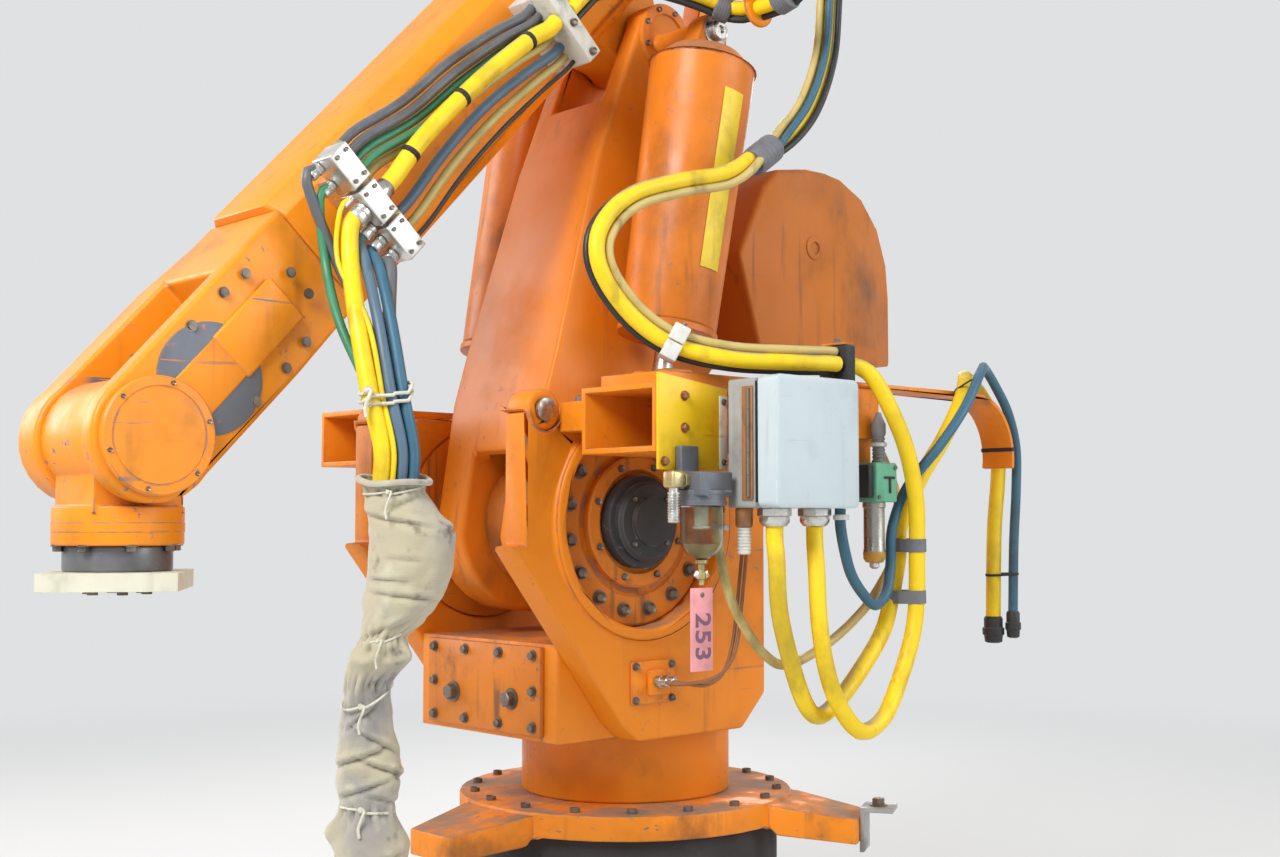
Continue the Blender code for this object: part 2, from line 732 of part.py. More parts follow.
def fixed_base():
    """Foot, pedestal and the clamping ring with its three hold-down arms."""
    foot_top = FOOT_THICKNESS
    coloured(drum("base_foot", (0, 0, 0), (0, 0, foot_top), FOOT_RADIUS, BASE_SIDES), DARK)
    ring_bottom = RING_TOP - RING_THICKNESS
    pedestal = drum(
        "base_pedestal", (0, 0, foot_top + SEAT_GAP), (0, 0, ring_bottom - SEAT_GAP), PEDESTAL_RADIUS, BASE_SIDES
    )
    coloured(pedestal, DARK)
    ring = drum("base_ring", (0, 0, ring_bottom), (0, 0, RING_TOP), RING_RADIUS, BASE_SIDES)
    root = RING_RADIUS * 0.8
    half, tip_half = RING_ARM_WIDTH / 2, RING_ARM_TIP_WIDTH / 2
    for number, angle in enumerate(RING_ARM_ANGLES):
        outline = [
            (root, ring_bottom + RING_ARM_DROP / 4),
            (PEDESTAL_RADIUS + SIDE_CLEARANCE, ring_bottom + RING_ARM_DROP / 4),
            (RING_RADIUS, ring_bottom - RING_ARM_DROP / 2),
            (RING_ARM_TIP_RADIUS, ring_bottom - RING_ARM_DROP),
            (RING_ARM_TIP_RADIUS, RING_TOP - RING_ARM_DROP),
            (RING_RADIUS, RING_TOP - RING_ARM_DROP / 4),
            (root, RING_TOP - RING_ARM_DROP / 4),
        ]
        arm = side_plate(f"ring_arm_{number}", outline, -half, half)
        waist = [(root / 2, -half), (RING_RADIUS, -half), (RING_ARM_TIP_RADIUS * 1.01, -tip_half)]
        waist += [(across, -side) for across, side in reversed(waist)]
        trim = level_plate(f"ring_arm_trim_{number}", waist, ring_bottom - RING_ARM_DROP * 2, RING_TOP + OVERRUN)
        for piece in (arm, trim):
            piece.rotation_euler.rotate_axis("Y" if piece is arm else "Z", math.radians(angle))
        boolean(arm, [trim], "INTERSECT")
        join(ring, arm)
    coloured(ring, ORANGE)
    tie_down()


def tie_down():
    """The galvanised angle that holds the ring's left arm to the floor anchors."""
    angle = math.radians(RING_ARM_ANGLES[1])
    holder = empty("tie_down_place", (0.0, 0.0, 0.0), parent=None)
    holder.rotation_euler = (0.0, 0.0, angle)
    start = RING_ARM_TIP_RADIUS + SEAT_GAP
    low = RING_TOP - RING_ARM_DROP - RING_THICKNESS / 2 - TIE_DOWN_HEIGHT / 2
    upright = box(
        "tie_down_bracket",
        (start, -TIE_DOWN_WIDTH / 2, low),
        (start + TIE_DOWN_THICKNESS, TIE_DOWN_WIDTH / 2, low + TIE_DOWN_HEIGHT),
        holder,
    )
    top = low + TIE_DOWN_HEIGHT
    shelf = box(
        "tie_down_shelf",
        (start, -TIE_DOWN_WIDTH / 2, top - TIE_DOWN_THICKNESS),
        (start + TIE_DOWN_LENGTH, TIE_DOWN_WIDTH / 2, top),
        holder,
    )
    coloured(join(upright, shelf), ZINC)


def cheek(side, word):
    """One side wall of the turning frame, with its drive opening, lifting ear and balance-rod lug."""
    outline = from_shares(CHEEK_OUTLINE_SHARES, (CHEEK_REAR, CHEEK_BOTTOM), CHEEK_LENGTH, CHEEK_HEIGHT)
    inner = CHEEK_INNER + SEAT_GAP
    wall = side_plate(f"cheek_{word}", outline, side * inner, side * CHEEK_OUTER, turn_axis)
    ear = drum(
        f"cheek_{word}_ear",
        (EAR_X, side * (inner + SEAT_GAP), EAR_Z),
        (EAR_X, side * (CHEEK_OUTER + SEAT_GAP), EAR_Z),
        EAR_RADIUS,
        24,
        turn_axis,
    )
    rim = drum(
        f"cheek_{word}_rim",
        (SHOULDER_X, side * (CHEEK_OUTER - OVERRUN), SHOULDER_Z),
        (SHOULDER_X, side * (CHEEK_OUTER + OPENING_RIM_HEIGHT), SHOULDER_Z),
        DRIVE_OPENING_RADIUS + OPENING_RIM_WIDTH,
        BASE_SIDES,
        turn_axis,
    )
    anchor_x, anchor_z = SHOULDER_X - ANCHOR_BACK, SHOULDER_Z + ANCHOR_UP
    lug_top = anchor_z + ROD_EYE_RADIUS + SIDE_CLEARANCE
    lug_low = anchor_z - ANCHOR_SLOT_DEPTH - OVERRUN
    lug = box(
        f"cheek_{word}_lug",
        (anchor_x - ANCHOR_LUG_WIDTH / 2, min(side * (inner + SEAT_GAP), side * ANCHOR_LUG_OUTER), lug_low),
        (anchor_x + ANCHOR_LUG_WIDTH / 2, max(side * (inner + SEAT_GAP), side * ANCHOR_LUG_OUTER), lug_top),
        turn_axis,
    )
    join(wall, ear, rim, lug)
    slot_low = anchor_z - ROD_EYE_RADIUS - SIDE_CLEARANCE
    slot_sides = [side * CYLINDER_Y - ANCHOR_SLOT_HALF_WIDTH, side * CYLINDER_Y + ANCHOR_SLOT_HALF_WIDTH]
    slot = box(
        f"cheek_{word}_slot",
        (anchor_x - ANCHOR_LUG_WIDTH, slot_sides[0], slot_low),
        (anchor_x + ANCHOR_LUG_WIDTH, slot_sides[1], lug_top + OVERRUN),
        turn_axis,
    )
    opening = drum(
        f"cheek_{word}_opening",
        (SHOULDER_X, side * (CHEEK_INNER - OVERRUN), SHOULDER_Z),
        (SHOULDER_X, side * (CHEEK_OUTER + OVERRUN), SHOULDER_Z),
        DRIVE_OPENING_RADIUS,
        BASE_SIDES,
        turn_axis,
    )
    ear_hole = drum(
        f"cheek_{word}_ear_hole",
        (EAR_X, side * (CHEEK_INNER - OVERRUN), EAR_Z),
        (EAR_X, side * (CHEEK_OUTER + OVERRUN), EAR_Z),
        EAR_HOLE_RADIUS,
        16,
        turn_axis,
    )
    return coloured(cut(wall, slot, opening, ear_hole), ORANGE)


def drive(side, word):
    """The gear unit's bolted flange in the cheek's opening, its boss towards the arm, and the motor end."""
    flange = drum(
        f"drive_flange_{word}",
        (SHOULDER_X, side * (CHEEK_INNER - SIDE_CLEARANCE), SHOULDER_Z),
        (SHOULDER_X, side * DRIVE_FLANGE_OUTER, SHOULDER_Z),
        DRIVE_OPENING_RADIUS - SEAT_GAP,
        BASE_SIDES,
        turn_axis,
    )
    boss = drum(
        f"drive_boss_{word}",
        (SHOULDER_X, side * (ARM_HALF_WIDTH_FOOT + RUNNING_GAP), SHOULDER_Z),
        (SHOULDER_X, side * (DRIVE_FLANGE_OUTER - SIDE_CLEARANCE), SHOULDER_Z),
        DRIVE_BOSS_RADIUS,
        BASE_SIDES,
        turn_axis,
    )
    coloured(join(flange, boss), ORANGE)
    motor = drum(
        f"drive_motor_{word}",
        (SHOULDER_X, side * (DRIVE_FLANGE_OUTER + SEAT_GAP), SHOULDER_Z),
        (SHOULDER_X, side * (DRIVE_FLANGE_OUTER + DRIVE_MOTOR_LENGTH), SHOULDER_Z),
        DRIVE_MOTOR_RADIUS,
        32,
        turn_axis,
    )
    coloured(motor, DARK)


def turning_frame():
    """Neck and floor casting, the two cheeks with their drives, the front cover and the turning motor."""
    floor = box(
        "frame_floor",
        (CHEEK_REAR, -CHEEK_INNER, CHEEK_BOTTOM),
        (FRAME_FLOOR_FRONT, CHEEK_INNER, FRAME_FLOOR_TOP),
        turn_axis,
    )
    neck = drum(
        "frame_neck", (0, 0, RING_TOP + RUNNING_GAP), (0, 0, CHEEK_BOTTOM + OVERRUN), NECK_RADIUS, BASE_SIDES, turn_axis
    )
    coloured(join(floor, neck), ORANGE)
    cover = box(
        "front_cover_plate",
        (FRAME_FLOOR_FRONT + SEAT_GAP, -COVER_HALF_WIDTH, COVER_BOTTOM),
        (FRAME_FLOOR_FRONT + COVER_THICKNESS, COVER_HALF_WIDTH, COVER_TOP),
        turn_axis,
    )
    coloured(cover, ORANGE)
    motor = drum(
        "turning_motor",
        (TURN_MOTOR_X, TURN_MOTOR_Y, FRAME_FLOOR_TOP + SEAT_GAP),
        (TURN_MOTOR_X, TURN_MOTOR_Y, FRAME_FLOOR_TOP + TURN_MOTOR_HEIGHT),
        TURN_MOTOR_RADIUS,
        24,
        turn_axis,
    )
    coloured(motor, DARK)
    for side, word in ((1, "left"), (-1, "right")):
        cheek(side, word)
        drive(side, word)


def lower_arm():
    """The box casting between shoulder and elbow, forked at both ends."""
    length = LOWER_ARM_LENGTH
    outline = arc((0.0, 0.0), ARM_HUB_RADIUS, 200.0, 340.0, 12)
    outline += [(ARM_FRONT_LOW, length * 0.20), (ARM_FRONT_MID, length * 0.70)]
    outline += arc((0.0, length), ARM_HEAD_RADIUS, 0.0, 180.0, 10)
    outline += [(-ARM_HEAD_RADIUS - SIDE_CLEARANCE, length * 0.93), (-ARM_BACK, length * 0.80)]
    outline += [(-ARM_BACK, length * 0.20)]
    body = side_plate("lower_arm", outline, -ARM_HALF_WIDTH_FOOT, ARM_HALF_WIDTH_FOOT, lower)
    reach = ARM_HUB_RADIUS + OVERRUN
    width = ARM_HALF_WIDTH_FOOT + OVERRUN
    for side, word in ((1, "left"), (-1, "right")):
        waist = [
            (side * ARM_HALF_WIDTH_FOOT, length * 0.30),
            (side * width, length * 0.30),
            (side * width, length + reach),
            (side * ARM_HALF_WIDTH_TOP, length + reach),
            (side * ARM_HALF_WIDTH_TOP, length * 0.72),
        ]
        taper = front_plate(f"lower_arm_taper_{word}", waist, -reach, reach, lower)
        stub = drum(
            f"lower_arm_stub_{word}",
            (0.0, side * (ARM_HALF_WIDTH_TOP - OVERRUN), CYLINDER_PIN_ALONG),
            (0.0, side * (CYLINDER_Y - CYLINDER_EYE_THICKNESS / 2 - RUNNING_GAP), CYLINDER_PIN_ALONG),
            PIVOT_STUB_RADIUS + SIDE_CLEARANCE,
            20,
            lower,
        )
        cut(body, taper)
        join(body, stub)
    slot_half = ARM_FOOT_SLOT_HALF_WIDTH
    foot_slot = box("lower_arm_foot_slot", (-reach, -slot_half, -reach), (reach, slot_half, ARM_FRONT_SLOT_TOP), lower)
    rear_slot = box(
        "lower_arm_rear_slot",
        (-reach, -slot_half, ARM_FRONT_SLOT_TOP - OVERRUN),
        (ARM_FRONT_LOW - ARM_FRONT_WALL, slot_half, ARM_FOOT_SLOT_TOP),
        lower,
    )
    head_slot = box(
        "lower_arm_head_slot",
        (-reach, -ARM_HEAD_SLOT_HALF_WIDTH, ARM_HEAD_SLOT_BOTTOM),
        (reach, ARM_HEAD_SLOT_HALF_WIDTH, length + reach),
        lower,
    )
    bore_half = ELBOW_PIN_HALF_LENGTH + PIN_BORE_CLEARANCE
    bore = drum(
        "lower_arm_elbow_bore",
        (0.0, -bore_half, length),
        (0.0, bore_half, length),
        ELBOW_PIN_RADIUS + PIN_BORE_CLEARANCE,
        32,
        lower,
    )
    coloured(cut(body, foot_slot, rear_slot, head_slot, bore), ORANGE)
    half = ELBOW_PIN_HALF_LENGTH
    axle = drum("elbow_shaft", (0, -half, 0), (0, half, 0), ELBOW_PIN_RADIUS, 32, elbow)
    coloured(axle, STEEL)


def balance(side, word):
    """One spring cylinder hung from the lower arm's head, and the rod that ties it to the frame."""
    pin = empty(f"cylinder_axis_{word}", (pin_x, side * CYLINDER_Y, pin_z), -cylinder_lean, parent=shoulder)
    top = -CYLINDER_HEAD
    profile_top = top - CYLINDER_CROWN
    barrel = drum(
        f"balance_cylinder_{word}",
        (0.0, 0.0, -CYLINDER_TAIL),
        (0.0, 0.0, profile_top),
        CYLINDER_TAIL_RADIUS,
        32,
        pin,
        CYLINDER_TOP_RADIUS,
    )
    crown = drum(
        f"balance_crown_{word}",
        (0.0, 0.0, profile_top - SEAT_GAP),
        (0.0, 0.0, top),
        CYLINDER_TOP_RADIUS,
        32,
        pin,
        CYLINDER_TOP_RADIUS - CYLINDER_CROWN,
    )
    half = CYLINDER_EYE_THICKNESS / 2
    eye_outline = arc((0.0, 0.0), CYLINDER_EYE_RADIUS, 0.0, 180.0, 12)
    eye_outline += [(-CYLINDER_EYE_RADIUS * 1.4, top - OVERRUN), (CYLINDER_EYE_RADIUS * 1.4, top - OVERRUN)]
    eye = side_plate(f"balance_eye_{word}", eye_outline, -half, half, pin)
    bore = drum(
        f"balance_bore_{word}",
        (0.0, 0.0, -CYLINDER_TAIL - OVERRUN),
        (0.0, 0.0, -CYLINDER_TAIL + CYLINDER_BORE_DEPTH),
        CYLINDER_BORE_RADIUS,
        32,
        pin,
    )
    coloured(cut(join(barrel, crown, eye), bore), ORANGE)
    anchor = empty(
        f"rod_axis_{word}", (-ANCHOR_BACK, side * CYLINDER_Y, ANCHOR_UP), -cylinder_lean, parent=shoulder
    )
    rod_half = ANCHOR_SLOT_HALF_WIDTH - RUNNING_GAP
    rod = drum(f"balance_rod_{word}", (0.0, 0.0, 0.0), (0.0, 0.0, ROD_LENGTH), ROD_RADIUS, 20, anchor)
    rod_eye = drum(f"rod_eye_{word}", (0.0, -rod_half, 0.0), (0.0, rod_half, 0.0), ROD_EYE_RADIUS, 24, anchor)
    coloured(join(rod, rod_eye), STEEL)


def parallel_linkage():
    """The crank beside the lower arm's foot, the counterweight on it, and the tie rod up to the upper arm."""
    depth = CRANK_PLATE_HALF_DEPTH
    outline = arc((0.0, 0.0), CRANK_HUB_RADIUS, -125.0, 125.0, 16)
    outline += [(-CRANK_HUB_RADIUS - depth, depth), (-CRANK_TAIL, depth)]
    outline += [(-CRANK_TAIL, -depth), (-CRANK_HUB_RADIUS - depth, -depth)]
    arm = side_plate("parallel_arm", outline, -CRANK_HALF_WIDTH, CRANK_HALF_WIDTH, crank)
    slot = box(
        "parallel_arm_slot",
        (-CRANK_SLOT_END, -CRANK_SLOT_HALF_WIDTH, -depth - OVERRUN),
        (-CRANK_SLOT_START, CRANK_SLOT_HALF_WIDTH, depth + OVERRUN),
        crank,
    )
    bore = drum(
        "parallel_arm_bore",
        (-PARALLEL_CRANK, -CRANK_HALF_WIDTH - OVERRUN, 0.0),
        (-PARALLEL_CRANK, CRANK_HALF_WIDTH + OVERRUN, 0.0),
        LINK_PIN_RADIUS + PIN_BORE_CLEARANCE,
        24,
        crank,
    )
    coloured(cut(arm, slot, bore), ORANGE)
    half = CRANK_HALF_WIDTH - SEAT_GAP
    coloured(drum("link_pin", (0, -half, 0), (0, half, 0), LINK_PIN_RADIUS, 24, crank_pin), STEEL)
    eye = TIE_ROD_HALF_WIDTH
    rod = box(
        "tie_rod",
        (-TIE_ROD_RADIUS, -TIE_ROD_RADIUS, 0.0),
        (TIE_ROD_RADIUS, TIE_ROD_RADIUS, LOWER_ARM_LENGTH),
        crank_pin,
    )
    for number, height in enumerate((0.0, LOWER_ARM_LENGTH)):
        ring = drum(
            f"tie_rod_eye_{number}", (0.0, -eye, height), (0.0, eye, height), TIE_ROD_EYE_RADIUS, 24, crank_pin
        )
        join(rod, ring)
    low_bore = drum(
        "tie_rod_bore", (0, -eye - OVERRUN, 0), (0, eye + OVERRUN, 0), LINK_PIN_RADIUS + PIN_BORE_CLEARANCE, 24, crank_pin
    )
    coloured(cut(rod, low_bore), ORANGE)
    for side, word in ((1, "left"), (-1, "right")):
        counterweight(side, word)


def counterweight(side, word):
    """Half of the cast counterweight, bolted to one side of the parallel arm."""
    start = (WEIGHT_FRONT - SHOULDER_X, WEIGHT_BOTTOM - SHOULDER_Z)
    outline = from_shares(WEIGHT_OUTLINE_SHARES, start, WEIGHT_LENGTH, WEIGHT_HEIGHT)
    inner = CRANK_HALF_WIDTH + SEAT_GAP
    block = side_plate(f"counterweight_{word}", outline, side * inner, side * WEIGHT_OUTER, shoulder)
    rear = start[0] - WEIGHT_LENGTH
    wedge = level_plate(
        f"counterweight_taper_{word}",
        [
            (rear + WEIGHT_TAPER_LENGTH, side * WEIGHT_OUTER),
            (rear + WEIGHT_TAPER_LENGTH, side * (WEIGHT_OUTER + OVERRUN)),
            (rear - OVERRUN, side * (WEIGHT_OUTER + OVERRUN)),
            (rear - OVERRUN, side * WEIGHT_REAR_HALF_WIDTH),
            (rear, side * WEIGHT_REAR_HALF_WIDTH),
        ],
        start[1] - OVERRUN,
        start[1] + WEIGHT_HEIGHT + OVERRUN,
        shoulder,
    )
    coloured(cut(block, wedge), ORANGE)


def upper_arm():
    """The long housing above the elbow, with its lugs, motors and hose fittings."""
    low, high = UPPER_ARM_OFFSET - HOUSING_BELOW, UPPER_ARM_OFFSET + HOUSING_ABOVE
    wide, edge = HOUSING_HALF_WIDTH, HOUSING_CHAMFER
    section = [
        (-wide, low + edge),
        (-wide + edge, low),
        (wide - edge, low),
        (wide, low + edge),
        (wide, high - edge),
        (wide - edge, high),
        (-wide + edge, high),
        (-wide, high - edge),
    ]
    body = front_plate("upper_arm", section, HOUSING_REAR, HOUSING_FRONT, elbow)
    lug_outline = arc((0.0, 0.0), ELBOW_LUG_RADIUS, 180.0, 360.0, 12)
    lug_outline += [(ELBOW_LUG_ROOT, low + OVERRUN), (-ELBOW_LUG_ROOT, low + OVERRUN)]
    half = ELBOW_LUG_HALF_WIDTH
    join(body, side_plate("upper_arm_elbow_lug", lug_outline, -half, half, elbow))
    crank_end = (-PARALLEL_CRANK, 0.0)
    for side, word in ((1, "left"), (-1, "right")):
        rear_outline = arc(crank_end, REAR_LUG_RADIUS, 150.0, 330.0, 12)
        lug_top = UPPER_ARM_OFFSET + WRIST_MOTOR_Z - WRIST_MOTOR_RADIUS - OVERRUN
        rear_outline += [(HOUSING_REAR + REAR_LUG_OUTER, low + OVERRUN), (HOUSING_REAR + REAR_LUG_OUTER, lug_top)]
        rear_outline += [(HOUSING_REAR - SIDE_CLEARANCE, lug_top)]
        inner, outer = side * REAR_LUG_INNER, side * REAR_LUG_OUTER
        join(body, side_plate(f"upper_arm_rear_lug_{word}", rear_outline, inner, outer, elbow))
    arm_half, arm_low, arm_high = CABLE_ARM_HALF_WIDTH, CABLE_ARM_LOW, CABLE_ARM_HIGH
    ring_inner, ring_outer = CABLE_ARM_RING_INNER, CABLE_ARM_RING_OUTER
    cable_arm = box(
        "upper_arm_cable_arm", (-arm_half, wide - OVERRUN, arm_low), (arm_half, ring_outer, arm_high), elbow
    )
    hanger = box("upper_arm_cable_hanger", (-arm_half, ring_inner, 0.0), (arm_half, ring_outer, arm_high), elbow)
    ring = drum("upper_arm_cable_ring", (0, ring_inner, 0), (0, ring_outer, 0), CABLE_ARM_RING_RADIUS, 24, elbow)
    join(body, join(cable_arm, hanger, ring))
    bore = drum("upper_arm_bore", (0, -wide, 0), (0, wide, 0), ELBOW_PIN_RADIUS + PIN_BORE_CLEARANCE, 32, elbow)
    coloured(cut(body, bore), ORANGE)
    for number, across in enumerate((-WRIST_MOTOR_Y, WRIST_MOTOR_Y)):
        motor = drum(
            f"wrist_motor_{number + 1}",
            (HOUSING_REAR - SEAT_GAP, across, UPPER_ARM_OFFSET + WRIST_MOTOR_Z),
            (HOUSING_REAR - WRIST_MOTOR_LENGTH, across, UPPER_ARM_OFFSET + WRIST_MOTOR_Z),
            WRIST_MOTOR_RADIUS,
            24,
            elbow,
        )
        coloured(motor, DARK)


def forearm():
    """The rolling front half of the upper arm, forked round the wrist, with the near fork's round cap."""
    axis_z, reach = UPPER_ARM_OFFSET, UPPER_ARM_REACH
    start = HOUSING_FRONT + RUNNING_GAP
    edge = HOUSING_CHAMFER
    high = HOUSING_ABOVE - edge / 2
    outline = [(start, axis_z + high), (start, axis_z - high)]
    outline += arc((reach, axis_z), FORK_END_RADIUS, -100.0, 100.0, 16)
    body = side_plate("forearm", outline, -FORK_FAR_OUTER, FORK_NEAR_OUTER, elbow)
    gap_start = FOREARM_NECK_END
    gap = box(
        "forearm_gap",
        (gap_start, -FORK_FAR_INNER, axis_z - HOUSING_BELOW - OVERRUN),
        (reach + FORK_END_RADIUS + OVERRUN, FORK_NEAR_INNER, axis_z + HOUSING_ABOVE + OVERRUN),
        elbow,
    )
    neck = FOREARM_NECK_HALF_WIDTH
    shoulder_relief = []
    for side, outer, word in ((1, FORK_NEAR_OUTER, "near"), (-1, FORK_FAR_OUTER, "far")):
        relief_outline = [
            (start - OVERRUN, side * neck),
            (start + (gap_start - start) * 0.35, side * neck),
            (gap_start + OVERRUN, side * outer),
            (gap_start + OVERRUN, side * (outer + OVERRUN)),
            (start - OVERRUN, side * (outer + OVERRUN)),
        ]
        shoulder_relief.append(
            level_plate(
                f"forearm_relief_{word}",
                relief_outline,
                axis_z - HOUSING_BELOW - OVERRUN,
                axis_z + HOUSING_ABOVE + OVERRUN,
                elbow,
            )
        )
    coloured(cut(body, gap, *shoulder_relief), ORANGE)
    for side, outer, word in ((1, FORK_NEAR_OUTER, "near"), (-1, FORK_FAR_OUTER, "far")):
        cap = drum(
            f"wrist_cap_{word}",
            (reach, side * (outer + SEAT_GAP), axis_z),
            (reach, side * (outer + WRIST_CAP_THICKNESS), axis_z),
            WRIST_CAP_RADIUS,
            32,
            elbow,
        )
        coloured(cap, ORANGE)


def tool_end():
    """The tilting wrist between the fork's cheeks, the turning disc and the tool plate."""
    hub = drum("wrist", (0, -WRIST_HALF_WIDTH, 0), (0, WRIST_HALF_WIDTH, 0), WRIST_HUB_RADIUS, 32, wrist)
    half = WRIST_BLOCK_HALF_WIDTH
    tier_start = WRIST_BLOCK_LENGTH - OVERRUN / 2
    block = box("wrist_block", (0.0, -half, -half), (WRIST_BLOCK_LENGTH, half, half), wrist)
    tier_end = WRIST_BLOCK_LENGTH + WRIST_TIER_LENGTH
    tier = drum("wrist_tier", (tier_start, 0, 0), (tier_end, 0, 0), WRIST_TIER_RADIUS, 32, wrist)
    coloured(join(hub, block, tier), ORANGE)
    disc_start = tier_end + RUNNING_GAP
    disc_end = disc_start + TURNING_DISC_THICKNESS
    disc = drum("turning_disc", (disc_start, 0, 0), (disc_end, 0, 0), TURNING_DISC_RADIUS, 32, wrist)
    coloured(disc, GREY_PAINT)
    side = TOOL_PLATE_SIDE / 2
    plate = box("tool_plate", (disc_end + SEAT_GAP, -side, -side), (disc_end + TOOL_PLATE_THICKNESS, side, side), wrist)
    plate.rotation_euler = (TOOL_PLATE_TURN, 0.0, 0.0)
    coloured(plate, STEEL)


def fork_pocket(side, word):
    """A rectangular tube for a lift truck's fork, on three feet against the cheek, with a hood on top."""
    inner, outer = side * POCKET_INNER, side * POCKET_OUTER
    low_y, high_y = min(inner, outer), max(inner, outer)
    shell = box(
        f"fork_pocket_{word}",
        (POCKET_REAR, low_y, POCKET_BOTTOM),
        (POCKET_FRONT, high_y, POCKET_TOP),
        turn_axis,
    )
    wall = POCKET_WALL
    bore = box(
        f"fork_pocket_bore_{word}",
        (POCKET_REAR - OVERRUN, low_y + wall, POCKET_BOTTOM + wall),
        (POCKET_FRONT + OVERRUN, high_y - wall, POCKET_TOP - wall),
        turn_axis,
    )
    cut(shell, bore)
    anchor_x = SHOULDER_X - ANCHOR_BACK
    half_lug = ANCHOR_LUG_WIDTH / 2
    seats = (
        (POCKET_REAR, POCKET_REAR + REAR_FOOT_LENGTH, POCKET_BOTTOM, CHEEK_OUTER),
        (anchor_x - half_lug, anchor_x + half_lug, POCKET_TOP - FOOT_HEIGHT, ANCHOR_LUG_OUTER),
        (POCKET_FRONT - FRONT_FOOT_LENGTH, POCKET_FRONT, FRONT_FOOT_BOTTOM, CHEEK_OUTER),
    )
    for number, (rear, front, bottom, seat) in enumerate(seats):
        ys = (side * (seat + SEAT_GAP), side * (POCKET_INNER + wall / 2))
        foot = box(
            f"fork_pocket_foot_{word}_{number}", (rear, min(ys), bottom), (front, max(ys), bottom + FOOT_HEIGHT), turn_axis
        )
        join(shell, foot)
    if side > 0:
        hood = box(
            "fork_pocket_hood",
            (HOOD_REAR, HOOD_INNER, POCKET_TOP - wall / 2),
            (HOOD_FRONT, HOOD_OUTER, HOOD_TOP),
            turn_axis,
        )
        join(shell, hood)
    coloured(shell, ORANGE)


def equipment_bracket():
    """The welded bracket on the left pocket that carries the box, the valve, the cable clip and the saddle."""
    pocket_face = POCKET_OUTER + SEAT_GAP
    beam = box(
        "equipment_bracket",
        (BEAM_REAR, pocket_face, BEAM_BOTTOM),
        (BEAM_FRONT, BOX_INNER - SEAT_GAP, BEAM_TOP),
        turn_axis,
    )
    riser = box(
        "equipment_riser",
        (BEAM_REAR, pocket_face, BEAM_BOTTOM),
        (RISER_FRONT, RISER_OUTER, RISER_TOP),
        turn_axis,
    )
    half = VALVE_SIDE / 2
    valve_arm = box(
        "equipment_valve_arm",
        (VALVE_X - half, VALVE_ARM_INNER, VALVE_ARM_BOTTOM),
        (VALVE_X + half, VALVE_Y - half - SEAT_GAP, BEAM_TOP),
        turn_axis,
    )
    coloured(join(beam, riser, valve_arm), ORANGE)
    outer, thick = SADDLE_RADIUS, SADDLE_THICKNESS
    base = RISER_TOP + SEAT_GAP
    top = SADDLE_Z + outer
    outline = [(RISER_FRONT / 2, base), (RISER_FRONT / 2, top)]
    outline += arc((SADDLE_X, SADDLE_Z), outer, 90.0, 190.0, 14)
    outline += arc((SADDLE_X, SADDLE_Z), outer - thick, 190.0, 90.0, 14)
    coloured(side_plate("cable_saddle", outline, SADDLE_INNER, SADDLE_OUTER, turn_axis), ORANGE)
    clip = box(
        "cable_clip",
        (CLIP_REAR, CLIP_INNER, RISER_TOP + SEAT_GAP),
        (CLIP_FRONT, CLIP_OUTER, CLIP_TOP),
        turn_axis,
    )
    coloured(clip, BLACK)


def control_box():
    """The electrical box with its door facing left, and the two cable glands under it."""
    split = BOX_OUTER - DOOR_THICKNESS
    body = box("control_box", (BOX_REAR, BOX_INNER, BOX_BOTTOM), (BOX_FRONT, split - SEAT_GAP, BOX_TOP), turn_axis)
    coloured(body, GREY_PAINT)
    door = box(
        "control_box_door",
        (BOX_REAR - DOOR_MARGIN, split, BOX_BOTTOM),
        (BOX_FRONT - DOOR_MARGIN, BOX_OUTER, BOX_TOP + DOOR_MARGIN),
        turn_axis,
    )
    coloured(door, GREY_PAINT)
    for number, across in enumerate(GLAND_XS):
        top = BOX_BOTTOM - SEAT_GAP
        gland = drum(
            f"cable_gland_{number + 1}",
            (across, GLAND_Y, top),
            (across, GLAND_Y, top - GLAND_LENGTH),
            GLAND_RADIUS,
            6,
            turn_axis,
        )
        coloured(gland, ALUMINIUM)


